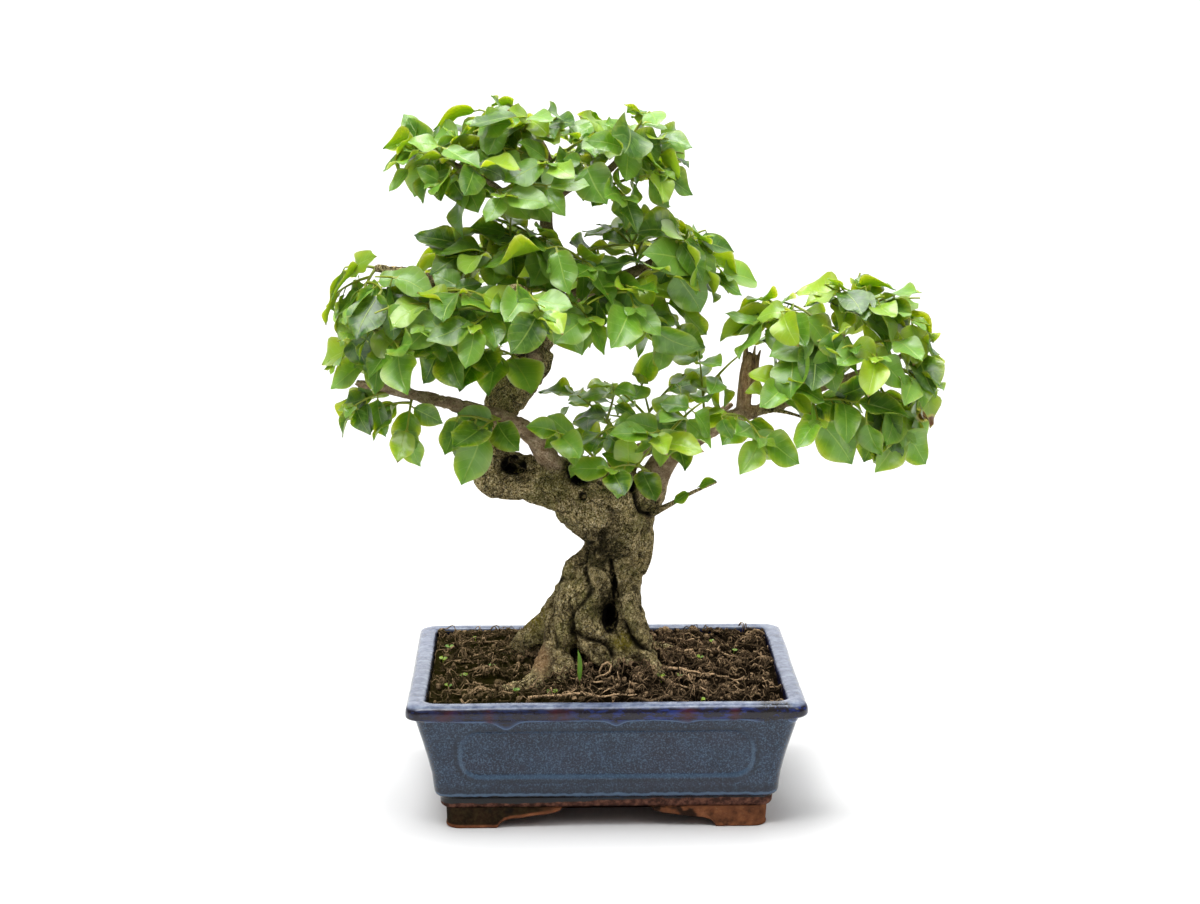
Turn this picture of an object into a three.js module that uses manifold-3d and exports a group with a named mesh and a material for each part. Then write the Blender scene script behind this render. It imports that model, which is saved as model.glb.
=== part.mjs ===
// A small evergreen tree trained as a bonsai, standing in soil in a glazed rectangular pot.
// Units are millimetres and +Z is up. Everything is laid out round the middle of the pot on the ground,
// with +X to the right and +Y away from the viewer. At the end the whole tree is shifted so that the
// origin lies on the ground under the middle of its outline.

import * as THREE from 'three';
import { mergeVertices } from 'three/addons/utils/BufferGeometryUtils.js';
import { LoftGeometry } from 'three/addons/geometries/LoftGeometry.js';
import Module from 'manifold-3d';

const wasm = await Module();
wasm.setup();

// Driving dimensions of the pot
const POT_WIDTH = 240;
const POT_DEPTH = 198;
const POT_HEIGHT = 81;
const RIM_HEIGHT = 9.5;
const RIM_OVERHANG = 5.4;
const RIM_TOP_WIDTH = 12;
const CORNER_RADIUS = 9;
const BASE_HALF_WIDTH = 103;
const BASE_HALF_DEPTH = 83;
const BAND_BOTTOM = 12;
const BAND_TOP = 20;
const FLOOR_TOP = 24;
const FOOT_THICKNESS = 14;
const FOOT_HALF_WIDTH = 97;
const FOOT_HALF_DEPTH = 81.3;
const DRAIN_RADIUS = 8;
const DRAIN_OFFSET = 48;

// Driving dimensions of the drain mesh, the soil and the gaps between touching pieces
const MESH_SIZE = 27;
const MESH_THICKNESS = 1.2;
const MESH_CELLS = 2;
const SOIL_LEVEL = 78;
const SOIL_MOUND = 5;
const SEAT_GAP = 0.3;
const MERGE_STEP = 0.1;
const ROUGH_MERGE_STEP = 0.12;

// Driving dimensions of the leaves and twigs
const LEAF_LENGTH = 28;
const LEAF_HALF_WIDTH = 0.34;
const LEAF_THICKNESS = 0.7;
const LEAF_CLEARANCE = 0.5;
const LEAF_FOLD = 0.2;
const LEAF_DROOP = 0.16;
const STALK_SHARE = 0.14;
const MOST_RISE = 0.3;
const SPREAD = 60;
const LAST_SPREAD = 48;
const STALK_START = 0.3;
const FIRST_PAIR = 0.38;
const LAST_PAIR = 0.95;
const LAST_PLACE = 0.97;
const TWIG_RADIUS = 1.4;
const TWIG_TIP_RADIUS = 0.9;
const SEED = 4.17;

// How a leaf's upper side turns: shares of up, away from the pad's middle and along the twig, and chance
const FACE_UP = 0.7;
const FACE_OUTWARD = 0.8;
const FACE_ALONG = 0.25;
const FACE_FORWARD = 0.15;
const FACE_CHANCE = 0.6;

// How far chance moves each leaf: its place on the twig, twist, spread, droop, length, width and wave
const PLACE_CHANCE = 0.07;
const PAIR_TURN = 55;
const TWIST_CHANCE = 50;
const SPREAD_CHANCE = 22;
const DROOP_CHANCE = 0.35;
const LENGTH_RANGE = [0.78, 1.22];
const WIDTH_RANGE = [0.88, 1.12];
const WAVE_RANGE = [0.12, 0.26];

const UP = new THREE.Vector3(0, 0, 1);

// Turn a closed three.js geometry into a solid that can be joined and cut.
function solidOf(geometry) {
  const bare = new THREE.BufferGeometry();
  bare.setAttribute('position', geometry.attributes.position);
  bare.setIndex(geometry.index);
  const merged = mergeVertices(bare, 1e-4);
  return new wasm.Manifold(new wasm.Mesh({
    numProp: 3,
    vertProperties: new Float32Array(merged.attributes.position.array),
    triVerts: new Uint32Array(merged.index.array),
  }));
}

// Turn a solid back into a geometry.
function geometryOf(solid) {
  const mesh = solid.getMesh();
  const geometry = new THREE.BufferGeometry();
  geometry.setAttribute('position', new THREE.BufferAttribute(mesh.vertProperties, 3));
  geometry.setIndex(new THREE.BufferAttribute(mesh.triVerts, 1));
  geometry.computeVertexNormals();
  return geometry;
}

function joined(solids) {
  return solids.reduce((whole, next) => whole.add(next));
}

// Only the largest body of a cut solid is kept, so that no scrap stays behind.
function largestPiece(solid) {
  const pieces = solid.decompose();
  pieces.sort((a, b) => b.volume() - a.volume());
  return pieces[0];
}

function boxOf(solid) {
  const box = solid.boundingBox();
  return new THREE.Box3(new THREE.Vector3(...box.min), new THREE.Vector3(...box.max));
}

// A repeatable number from 0 to 1 for each row, slot and use.
function draw(row, slot, use) {
  const wave = Math.sin((row * 127.1 + slot * 17.7 + use * 3.1) + SEED) * 43758.5453;
  return wave - Math.floor(wave);
}

// The pot

// One level of the pot: a rectangle with rounded corners, counter-clockwise seen from above.
function roundedRing(halfWidth, halfDepth, radius, z) {
  const points = [];
  const cornerSteps = 3;
  const corners = [[1, 1, 0], [-1, 1, 1], [-1, -1, 2], [1, -1, 3]];
  for (const [sideX, sideY, quarter] of corners) {
    for (let step = 0; step <= cornerSteps; step += 1) {
      const angle = (quarter + step / cornerSteps) * Math.PI / 2;
      const x = sideX * (halfWidth - radius) + radius * Math.cos(angle);
      const y = sideY * (halfDepth - radius) + radius * Math.sin(angle);
      points.push(new THREE.Vector3(x, y, z));
    }
  }
  return points;
}

// Half width, half depth, corner radius and height of each level of the outside, up to the top of the rim.
function outsideLevels() {
  const rimX = POT_WIDTH / 2;
  const rimY = POT_DEPTH / 2;
  const rimBottom = POT_HEIGHT - RIM_HEIGHT;
  const slopeX = (rimX - RIM_OVERHANG - BASE_HALF_WIDTH) / (rimBottom - BAND_TOP);
  const slopeY = (rimY - RIM_OVERHANG - BASE_HALF_DEPTH) / (rimBottom - BAND_TOP);
  const body = (z, swell) => [
    BASE_HALF_WIDTH + slopeX * (z - BAND_TOP) + swell,
    BASE_HALF_DEPTH + slopeY * (z - BAND_TOP) + swell,
    CORNER_RADIUS,
    z,
  ];
  return [
    [BASE_HALF_WIDTH - 4, BASE_HALF_DEPTH - 4, CORNER_RADIUS, BAND_BOTTOM],
    [BASE_HALF_WIDTH - 2.5, BASE_HALF_DEPTH - 2.5, CORNER_RADIUS, BAND_BOTTOM + 1.5],
    [BASE_HALF_WIDTH - 2, BASE_HALF_DEPTH - 2, CORNER_RADIUS, BAND_TOP - 1],
    body(BAND_TOP, 0),
    body(BAND_TOP + 2, 0.6),
    body(BAND_TOP + 14, -0.6),
    body(BAND_TOP + 28, -0.6),
    body(rimBottom - 8, 0),
    body(rimBottom, 0.2),
    [rimX - 1.4, rimY - 1.4, CORNER_RADIUS, rimBottom + 0.6],
    [rimX, rimY, CORNER_RADIUS, rimBottom + 3],
    [rimX, rimY, CORNER_RADIUS, POT_HEIGHT - 3.2],
    [rimX - 1.2, rimY - 1.2, CORNER_RADIUS, POT_HEIGHT - 1],
    [rimX - 4, rimY - 4, CORNER_RADIUS, POT_HEIGHT],
  ];
}

// The same for the hollow, from the floor up, rounded over at the inner edge of the rim.
function insideLevels() {
  const inside = (z, inset) => [POT_WIDTH / 2 - inset, POT_DEPTH / 2 - inset, CORNER_RADIUS - 3, z];
  return [
    inside(FLOOR_TOP, RIM_TOP_WIDTH + 19),
    inside(FLOOR_TOP + 3, RIM_TOP_WIDTH + 15.5),
    inside(FLOOR_TOP + 14, RIM_TOP_WIDTH + 10),
    inside(POT_HEIGHT - RIM_HEIGHT, RIM_TOP_WIDTH + 1),
    inside(POT_HEIGHT - 2, RIM_TOP_WIDTH),
    inside(POT_HEIGHT - 0.5, RIM_TOP_WIDTH - 1.2),
    inside(POT_HEIGHT + 1, RIM_TOP_WIDTH - 4),
  ];
}

function levelSolid(levels) {
  const rings = levels.map((level) => roundedRing(...level));
  return solidOf(new LoftGeometry(rings, { capStart: true, capEnd: true }));
}

// The curved opening between two feet, cut right through the foot ring.
function footArch(groundHalf, topHalf, length) {
  const reach = groundHalf - topHalf;
  const arch = new THREE.Shape();
  arch.moveTo(-groundHalf, -1);
  arch.quadraticCurveTo(-groundHalf + reach * 0.1, 5.5, -groundHalf + reach * 0.36, 6.2);
  arch.lineTo(-topHalf - reach * 0.2, 8.8);
  arch.quadraticCurveTo(-topHalf - reach * 0.05, 9.6, -topHalf, BAND_BOTTOM + 0.2);
  arch.lineTo(topHalf, BAND_BOTTOM + 0.2);
  arch.quadraticCurveTo(topHalf + reach * 0.05, 9.6, topHalf + reach * 0.2, 8.8);
  arch.lineTo(groundHalf - reach * 0.36, 6.2);
  arch.quadraticCurveTo(groundHalf - reach * 0.1, 5.5, groundHalf, -1);
  const geometry = new THREE.ExtrudeGeometry(arch, { depth: length, bevelEnabled: false, curveSegments: 3 });
  geometry.translate(0, 0, -length / 2);
  geometry.rotateX(Math.PI / 2);
  return geometry;
}

function makeFeet() {
  const outside = levelSolid([
    [FOOT_HALF_WIDTH - 1.2, FOOT_HALF_DEPTH - 1.2, CORNER_RADIUS, 0],
    [FOOT_HALF_WIDTH, FOOT_HALF_DEPTH, CORNER_RADIUS, 1.6],
    [FOOT_HALF_WIDTH + 0.6, FOOT_HALF_DEPTH - 0.2, CORNER_RADIUS, BAND_BOTTOM + 1],
  ]);
  const innerWidth = FOOT_HALF_WIDTH - FOOT_THICKNESS;
  const innerDepth = FOOT_HALF_DEPTH - FOOT_THICKNESS;
  const hollow = levelSolid([[innerWidth, innerDepth, 4, -1], [innerWidth, innerDepth, 4, BAND_BOTTOM]]);
  const frontArch = footArch(66, 27, POT_DEPTH);
  const sideArch = footArch(46, 15, POT_WIDTH).rotateZ(Math.PI / 2);
  return outside.subtract(hollow).subtract(solidOf(frontArch)).subtract(solidOf(sideArch));
}

function makePot() {
  let pot = levelSolid(outsideLevels()).subtract(levelSolid(insideLevels())).add(makeFeet());
  for (const side of [-1, 1]) {
    const drain = new THREE.CylinderGeometry(DRAIN_RADIUS, DRAIN_RADIUS, FLOOR_TOP, 12);
    drain.rotateX(Math.PI / 2);
    drain.translate(side * DRAIN_OFFSET, 0, FLOOR_TOP - 6);
    pot = pot.subtract(solidOf(drain));
  }
  return pot;
}

// A square of plastic mesh, two sets of crossing bars, that keeps the soil in over a drain hole.
function makeDrainMesh(side) {
  const barWidth = MESH_SIZE / 12;
  const pitch = (MESH_SIZE - barWidth) / MESH_CELLS;
  const bars = [];
  for (let index = 0; index <= MESH_CELLS; index += 1) {
    const offset = (index - MESH_CELLS / 2) * pitch;
    bars.push(new THREE.BoxGeometry(barWidth, MESH_SIZE, MESH_THICKNESS).translate(offset, 0, 0));
    bars.push(new THREE.BoxGeometry(MESH_SIZE, barWidth, MESH_THICKNESS).translate(0, offset, 0));
  }
  const height = FLOOR_TOP + SEAT_GAP + MESH_THICKNESS / 2;
  return joined(bars.map(solidOf)).translate([side * DRAIN_OFFSET, 0, height]);
}

// The soil

// Height of the lumpy soil, mounded up round the foot of the trunk.
function soilHeight(x, y) {
  const mound = SOIL_MOUND * Math.exp(-(((x + 6) / 62) ** 2) - ((y - 14) / 48) ** 2);
  const lumps = Math.sin(x / 7.3 + 1) * Math.cos(y / 8.1) + 0.6 * Math.sin(x / 3.9 + y / 5.3);
  return SOIL_LEVEL + mound + 0.8 * lumps;
}

function soilRing(halfWidth, halfDepth, z) {
  const points = [];
  const count = 30;
  for (let step = 0; step < count; step += 1) {
    const angle = step / count * Math.PI * 2;
    const squareness = Math.max(Math.abs(Math.cos(angle)), Math.abs(Math.sin(angle))) ** 0.94;
    const x = halfWidth * Math.cos(angle) / squareness;
    const y = halfDepth * Math.sin(angle) / squareness;
    points.push(new THREE.Vector3(x, y, z === null ? soilHeight(x, y) : z));
  }
  return points;
}

function makeSoil(trunkClearance) {
  const rimX = POT_WIDTH / 2;
  const rimY = POT_DEPTH / 2;
  const wall = (inset, z) => soilRing(rimX - inset - SEAT_GAP, rimY - inset - SEAT_GAP, z);
  const meshTop = FLOOR_TOP + SEAT_GAP + MESH_THICKNESS;
  const rings = [
    wall(RIM_TOP_WIDTH + 19.4, FLOOR_TOP + SEAT_GAP),
    wall(RIM_TOP_WIDTH + 16, FLOOR_TOP + 3),
    wall(RIM_TOP_WIDTH + 10.6, FLOOR_TOP + 14),
    wall(RIM_TOP_WIDTH + 1.6, POT_HEIGHT - RIM_HEIGHT),
    wall(RIM_TOP_WIDTH + 1.2, SOIL_LEVEL - 2.5),
  ];
  for (const scale of [0.96, 0.8, 0.6, 0.36]) {
    rings.push(soilRing((rimX - RIM_TOP_WIDTH - 2) * scale, (rimY - RIM_TOP_WIDTH - 2) * scale, null));
  }
  rings.push(soilRing(5, 5, SOIL_LEVEL + SOIL_MOUND + 8));
  let soil = solidOf(new LoftGeometry(rings, { capStart: true, capEnd: true }));
  for (const side of [-1, 1]) {
    const reach = MESH_SIZE + 2 * SEAT_GAP;
    const pocket = new THREE.BoxGeometry(reach, reach, 2 * (meshTop + SEAT_GAP - FLOOR_TOP));
    pocket.translate(side * DRAIN_OFFSET, 0, FLOOR_TOP);
    soil = soil.subtract(solidOf(pocket));
  }
  return largestPiece(soil.subtract(trunkClearance));
}

// The trunk, its roots and its branches, each a line of points [x, y, z, radius].
const LIMBS = {
  trunk: {
    sides: 11,
    steps: 9,
    lobes: 0.06,
    points: [
      [-6, 24, 56, 30], [-7, 23, 80, 32], [-7, 22, 98, 28], [-5, 21, 112, 26], [1, 21, 130, 22.5],
      [9, 20, 150, 20.5], [8.5, 20, 160, 22.5], [6, 20, 170, 26], [1.5, 20, 182, 30.5], [0, 20, 192, 29],
      [1, 20, 200, 21],
    ],
  },
  root_left: {
    sides: 7,
    steps: 6,
    lobes: 0.08,
    points: [
      [-4, 20, 147, 10], [-17, 18, 124, 12], [-25, 18, 110, 12], [-33, 20, 99, 11], [-45, 26, 88, 9],
      [-58, 34, 78, 6], [-74, 46, 70, 3],
    ],
  },
  root_front_left: {
    sides: 6,
    steps: 7,
    lobes: 0.08,
    points: [
      [-16, 8, 128, 10], [-24, 3, 107, 11], [-31, -4, 90, 8], [-38, -22, 83, 6.5],
      [-45, -44, 80, 5], [-62, -50, 77, 3.6], [-80, -42, 70, 2.4],
    ],
  },
  root_front_foot: {
    sides: 5,
    steps: 3,
    lobes: 0.06,
    points: [[-30, 4, 88, 7], [-23, -12, 84, 5], [-27, -28, 79, 4], [-34, -38, 71, 2.6]],
  },
  root_centre: {
    sides: 7,
    steps: 6,
    lobes: 0.08,
    points: [
      [-1, 6, 138, 11], [-11, 1, 118, 12], [-10, -3, 102, 11], [0, -5, 89, 10], [13, -3, 81, 8],
      [26, -4, 72, 4],
    ],
  },
  root_right: {
    sides: 6,
    steps: 5,
    lobes: 0.08,
    points: [
      [10, 16, 130, 12], [13, 15, 112, 11], [18, 20, 94, 9], [29, 26, 83, 7], [45, 32, 76, 5],
      [60, 40, 69, 3],
    ],
  },
  root_right_front: {
    sides: 5,
    steps: 4,
    lobes: 0.06,
    points: [[13, 6, 121, 9], [17, 1, 103, 8], [25, -2, 88, 6], [34, -10, 79, 4.5], [44, -16, 71, 2.8]],
  },
  root_back: {
    sides: 5,
    steps: 4,
    lobes: 0.06,
    points: [[4, 30, 128, 11], [8, 38, 104, 10], [6, 50, 86, 8], [14, 64, 77, 5], [26, 74, 69, 3]],
  },
  root_back_left: {
    sides: 5,
    steps: 4,
    lobes: 0.06,
    points: [[-8, 28, 122, 10], [-18, 38, 100, 9], [-30, 48, 84, 7], [-46, 58, 76, 4.5], [-58, 64, 69, 3]],
  },
  left_arm: {
    sides: 9,
    steps: 9,
    lobes: 0.06,
    points: [
      [-2, 20, 181, 22], [-26, 19, 190, 17.4], [-48, 18, 196, 14.4], [-66, 17, 200, 15.3],
      [-72, 17, 213, 12.5], [-69, 17, 228, 10.5], [-62, 17, 243, 11], [-54, 18, 256, 12],
      [-46, 18, 268, 12.5], [-40, 18, 279, 10],
    ],
  },
  leader: {
    sides: 6,
    steps: 6,
    lobes: 0.04,
    points: [
      [-45, 18, 262, 8], [-36, 19, 286, 6.5], [-29, 22, 308, 5.5], [-29, 22, 332, 4.8], [-34, 20, 353, 4.2],
      [-35, 20, 369, 4],
    ],
  },
  apex_left: {
    sides: 4,
    steps: 4,
    lobes: 0,
    points: [[-34, 20, 364, 3.4], [-51, 18, 367, 3], [-69, 14, 381, 2.4], [-92, 10, 394, 1.7]],
  },
  apex_right: {
    sides: 4,
    steps: 5,
    lobes: 0,
    points: [
      [-35, 20, 366, 3.6], [-21, 18, 378, 3], [-4, 15, 384, 2.6], [9, 12, 394, 2.2], [19, 10, 411, 1.6],
    ],
  },
  apex_middle: {
    sides: 4,
    steps: 4,
    lobes: 0,
    points: [[-35, 20, 366, 3.4], [-31, 26, 385, 2.8], [-35, 30, 400, 2.2], [-43, 32, 413, 1.6]],
  },
  low_left: {
    sides: 6,
    steps: 8,
    lobes: 0.03,
    points: [
      [-24, 16, 192, 8], [-36, 8, 214, 6.5], [-45, 3, 227, 6], [-61, -2, 237, 5], [-77, -6, 243, 4.3],
      [-94, -8, 248, 3.9], [-113, -10, 253, 3.5], [-132, -11, 258, 3], [-152, -12, 262, 2.2],
    ],
  },
  left_riser: {
    sides: 4,
    steps: 4,
    lobes: 0,
    points: [[-130, -11, 256, 2.6], [-136, -10, 270, 2.4], [-133, -8, 285, 2.2], [-130, -6, 301, 1.7]],
  },
  dome_left: {
    sides: 5,
    steps: 6,
    lobes: 0,
    points: [
      [-40, 18, 277, 6.5], [-54, 12, 296, 5.5], [-75, 4, 311, 4.6], [-100, -3, 322, 3.8], [-121, -6, 329, 3],
      [-140, -6, 332, 2],
    ],
  },
  dome_front: {
    sides: 4,
    steps: 4,
    lobes: 0,
    points: [
      [-36, 19, 286, 5], [-40, 2, 301, 4.4], [-45, -16, 313, 3.6], [-50, -40, 322, 2.8], [-55, -58, 326, 2],
    ],
  },
  dome_back: {
    sides: 4,
    steps: 5,
    lobes: 0,
    points: [
      [-34, 20, 292, 5], [-50, 36, 301, 4.4], [-70, 50, 307, 3.6], [-93, 60, 313, 2.8], [-114, 64, 309, 2],
    ],
  },
  cut_riser: {
    sides: 5,
    steps: 2,
    lobes: 0.05,
    points: [[-55, 6, 303, 4.6], [-56, 2, 322, 3.8], [-56, 0, 344, 3]],
  },
  right_shoulder: {
    sides: 5,
    steps: 5,
    lobes: 0,
    points: [
      [-29, 22, 303, 5], [-13, 18, 313, 4.4], [11, 12, 323, 3.8], [28, 8, 331, 3.2], [41, 5, 340, 2.2],
    ],
  },
  right_arm: {
    sides: 7,
    steps: 9,
    lobes: 0.04,
    points: [
      [18, 20, 170, 12], [28, 19, 183, 10.5], [33, 17, 197, 9], [40, 15, 209, 8], [51, 13, 218, 6.8],
      [65, 11, 227, 5.8], [85, 8, 237, 4.5], [110, 6, 244, 3.6], [132, 4, 253, 3], [152, 2, 262, 2.4],
    ],
  },
  right_back: {
    sides: 5,
    steps: 5,
    lobes: 0.03,
    points: [[10, 26, 189, 7], [19, 30, 207, 5], [34, 36, 213, 4.2], [56, 44, 219, 3.4], [84, 52, 237, 2.2]],
  },
  right_riser: {
    sides: 4,
    steps: 4,
    lobes: 0,
    points: [[142, 3, 257, 2.6], [145, 4, 275, 2.3], [150, 6, 294, 1.9], [154, 8, 309, 1.5]],
  },
  right_tip: {
    sides: 4,
    steps: 3,
    lobes: 0,
    points: [[141, 3, 257, 2.6], [158, 1, 264, 2.4], [174, 0, 269, 2], [188, -2, 278, 1.5]],
  },
  dead_stub: {
    sides: 5,
    steps: 3,
    lobes: 0.08,
    points: [[87, 8, 236, 4.2], [88, 8, 249, 4.2], [90, 8, 264, 4.6], [92, 8, 276, 3.8]],
  },
  dead_twig: {
    sides: 3,
    steps: 2,
    lobes: 0,
    points: [[90, 8, 239, 1.8], [107, 2, 241, 1.3], [123, -4, 238, 0.9]],
  },
  low_twig: {
    sides: 3,
    steps: 3,
    lobes: 0,
    points: [[31, 10, 175, 2.6], [40, 2, 181, 1.7], [54, -4, 190, 1.2], [70, -8, 198, 0.8]],
  },
};

// Places worn, hollowed or sawn out of the wood: middle and half sizes of each rounded cut.
const HOLLOWS = [
  { at: [4, -2, 107], half: [5.5, 18, 13] },
  { at: [7, -6, 128], half: [2.2, 14, 14] },
  { at: [9, -2, 96], half: [6, 14, 9] },
  { at: [-15, 2, 207], half: [8, 14, 9] },
  { at: [-53, 0, 208], half: [8, 9, 6] },
  { at: [90, 8, 280], half: [2.4, 2, 7] },
];

// Points and radii along a limb, with cross directions that turn as little as they can.
function limbStations(points, steps) {
  const centre = new THREE.CatmullRomCurve3(
    points.map(([x, y, z]) => new THREE.Vector3(x, y, z)), false, 'catmullrom', 0.5);
  const girth = new THREE.CatmullRomCurve3(
    points.map(([, , , radius]) => new THREE.Vector3(radius, 0, 0)), false, 'catmullrom', 0.5);
  const stations = [];
  let across = new THREE.Vector3(0, -1, 0.2);
  for (let step = 0; step <= steps; step += 1) {
    const along = centre.getTangent(step / steps);
    across = across.clone().addScaledVector(along, -across.dot(along)).normalize();
    stations.push({
      at: centre.getPoint(step / steps),
      radius: girth.getPoint(step / steps).x,
      across,
      over: along.clone().cross(across),
      along,
    });
  }
  return stations;
}

// A limb is a run of lobed rings; "grow" makes the same limb thicker, for the clearance round it.
function limbGeometry(points, sides, steps, lobes, grow) {
  const stations = limbStations(points, steps);
  const last = stations.length - 1;
  const rings = stations.map(({ at, radius, across, over, along }, index) => {
    const end = index === 0 ? -grow : index === last ? grow : 0;
    return Array.from({ length: sides }, (unused, side) => {
      const angle = side / sides * Math.PI * 2;
      const wave = Math.sin(3 * angle + index * 0.7) + 0.7 * Math.sin(5 * angle - index * 0.9 + 1);
      const reach = radius * (1 + lobes * wave) + grow;
      return at.clone()
        .addScaledVector(across, reach * Math.cos(angle))
        .addScaledVector(over, reach * Math.sin(angle))
        .addScaledVector(along, end);
    });
  });
  return new LoftGeometry(rings, { capStart: true, capEnd: true });
}

function limbSolids(grow) {
  return Object.values(LIMBS).map(({ points, sides, steps, lobes }) =>
    solidOf(limbGeometry(points, sides, steps, lobes, grow)));
}

function makeTrunk() {
  let trunk = joined(limbSolids(0));
  for (const { at, half } of HOLLOWS) {
    const bite = new THREE.IcosahedronGeometry(1, 1);
    bite.scale(...half);
    bite.translate(...at);
    trunk = trunk.subtract(solidOf(bite));
  }
  return largestPiece(trunk);
}

// Foliage

// The foliage stands in pads: the middle that the leaves face away from, their size and how far they hang.
const PADS = {
  top: { heart: [-40, 20, 372], size: 0.95, hang: 0 },
  dome: { heart: [-70, 10, 280], size: 1.05, hang: 0.3 },
  shoulder: { heart: [10, 14, 300], size: 1, hang: 0.1 },
  low_left: { heart: [-105, 4, 262], size: 0.9, hang: 0.25 },
  near_trunk: { heart: [-60, 16, 250], size: 1.15, hang: 0.25 },
  front: { heart: [10, 24, 200], size: 0.85, hang: 0.05 },
  inner: { heart: [84, 18, 224], size: 0.95, hang: 0.2 },
  end: { heart: [160, 8, 262], size: 1.05, hang: 0.3 },
};

// Every leafy twig: its pad, where it leaves the wood, where it ends, and its pairs of leaves.
const SPRAYS = [
  ['top', [-90, 10, 393], [-112, -8, 402], 3],
  ['top', [-81, 12, 388], [-98, -22, 384], 3],
  ['top', [-69, 14, 381], [-88, 6, 408], 3],
  ['top', [-62, 16, 376], [-60, -36, 378], 3],
  ['top', [-36, 30, 401], [-64, 4, 416], 3],
  ['top', [-38, 31, 405], [-40, 8, 417], 3],
  ['top', [-31, 26, 385], [-34, -26, 396], 3],
  ['top', [-66, 15, 379], [-84, 48, 394], 2],
  ['top', [19, 10, 409], [3, -8, 409], 3],
  ['top', [14, 11, 401], [34, -12, 390], 3],
  ['top', [18, 10, 406], [34, 14, 402], 2],
  ['top', [-4, 15, 384], [12, -24, 376], 3],
  ['top', [-33, 28, 391], [-14, 60, 396], 3],
  ['dome', [-138, -6, 332], [-150, -20, 308], 3],
  ['dome', [-131, -7, 297], [-163, -8, 274], 3],
  ['dome', [-134, -8, 289], [-122, -52, 288], 3],
  ['dome', [-100, -3, 322], [-108, -54, 302], 4],
  ['dome', [-88, 0, 317], [-98, -36, 286], 3],
  ['dome', [-45, -14, 311], [-78, -62, 304], 4],
  ['dome', [-50, -40, 322], [-38, -82, 314], 3],
  ['dome', [-56, 1, 334], [-82, -12, 338], 3],
  ['dome', [-30, 22, 341], [-56, -8, 346], 3],
  ['dome', [-29, 22, 332], [-6, -30, 334], 3],
  ['dome', [-29, 22, 309], [-10, -36, 304], 3],
  ['dome', [-78, 54, 310], [-88, 66, 328], 2],
  ['dome', [-96, 60, 313], [-126, 54, 304], 3],
  ['dome', [-29, 22, 320], [-8, 66, 322], 2],
  ['near_trunk', [-46, 18, 266], [-74, -26, 284], 3],
  ['shoulder', [38, 6, 337], [58, -6, 348], 3],
  ['shoulder', [34, 7, 334], [74, 4, 324], 3],
  ['shoulder', [22, 9, 328], [16, 16, 349], 3],
  ['shoulder', [12, 12, 323], [18, -36, 310], 3],
  ['shoulder', [2, 15, 319], [40, -8, 290], 3],
  ['low_left', [-128, -11, 256], [-152, -20, 249], 3],
  ['low_left', [-117, -10, 254], [-120, -24, 234], 2],
  ['near_trunk', [-61, -2, 237], [-74, -24, 236], 2],
  ['front', [4, 18, 196], [-28, -34, 234], 3],
  ['front', [19, 30, 206], [-18, 6, 252], 3],
  ['front', [34, 17, 196], [4, -36, 212], 3],
  ['front', [34, 36, 213], [24, 16, 256], 2],
  ['front', [49, 13, 216], [28, -38, 234], 3],
  ['inner', [64, 11, 227], [60, 6, 272], 3],
  ['inner', [84, 8, 237], [96, -22, 228], 3],
  ['inner', [104, 6, 243], [112, -28, 262], 3],
  ['end', [149, 6, 289], [98, 4, 298], 3],
  ['end', [147, 5, 280], [114, -16, 282], 3],
  ['end', [153, 8, 303], [146, -10, 318], 3],
  ['end', [153, 8, 296], [176, 26, 304], 2],
  ['end', [152, 7, 299], [190, -8, 298], 3],
  ['end', [128, 4, 251], [130, -30, 240], 2],
  ['end', [147, 5, 278], [164, -40, 280], 3],
  ['end', [174, 0, 269], [199, -8, 258], 3],
  ['end', [164, 1, 265], [184, -20, 230], 3],
];

const LEAF_OUTLINE = [
  { along: 0, side: 0 }, { along: 0.33, side: 0.92 }, { along: 0.68, side: 0.76 },
  { along: 1, side: 0 }, { along: 0.68, side: -0.76 }, { along: 0.33, side: -0.92 },
];

// A leaf: a disc whose rim is drawn to a pointed oval, folded along its middle, waved, its tip bent down.
function leafGeometry({ base, along, across, face, length, halfWidth, wave, thickness, from = 0 }) {
  const geometry = new THREE.CylinderGeometry(1, 1, 1, LEAF_OUTLINE.length, 1);
  const position = geometry.attributes.position;
  const point = new THREE.Vector3();
  for (let index = 0; index < position.count; index += 1) {
    point.fromBufferAttribute(position, index);
    const onRim = Math.hypot(point.x, point.z) > 0.5;
    const turn = Math.round(Math.atan2(point.x, point.z) / (Math.PI * 2) * LEAF_OUTLINE.length);
    const rim = LEAF_OUTLINE[(turn + LEAF_OUTLINE.length) % LEAF_OUTLINE.length];
    const u = onRim ? Math.max(rim.along, from) : 0.45;
    const v = onRim ? rim.side : 0;
    const lift = LEAF_FOLD * Math.abs(v) * halfWidth - LEAF_DROOP * length * u * u
      + wave * Math.sin(u * 7 + v * 2) * v * halfWidth + Math.sign(point.y) * thickness / 2;
    point.copy(base)
      .addScaledVector(along, u * length)
      .addScaledVector(across, v * halfWidth)
      .addScaledVector(face, lift);
    position.setXYZ(index, point.x, point.y, point.z);
  }
  return geometry;
}

// The curve of a leafy twig; "bend" lifts its middle and "sway" moves it sideways, as shares of its length.
const TWIG_BENDS = [
  [0.16, 0], [0.05, 0.12], [0.05, -0.12], [0.28, 0.08], [0.28, -0.08], [-0.1, 0], [0.1, 0.3], [0.1, -0.3],
];

function twigCurve(start, end, [bend, sway]) {
  const span = end.clone().sub(start);
  const sideways = span.clone().cross(UP).normalize();
  const middle = start.clone().add(end).multiplyScalar(0.5)
    .addScaledVector(UP, bend * span.length())
    .addScaledVector(sideways, sway * span.length());
  return new THREE.QuadraticBezierCurve3(start, middle, end);
}

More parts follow.
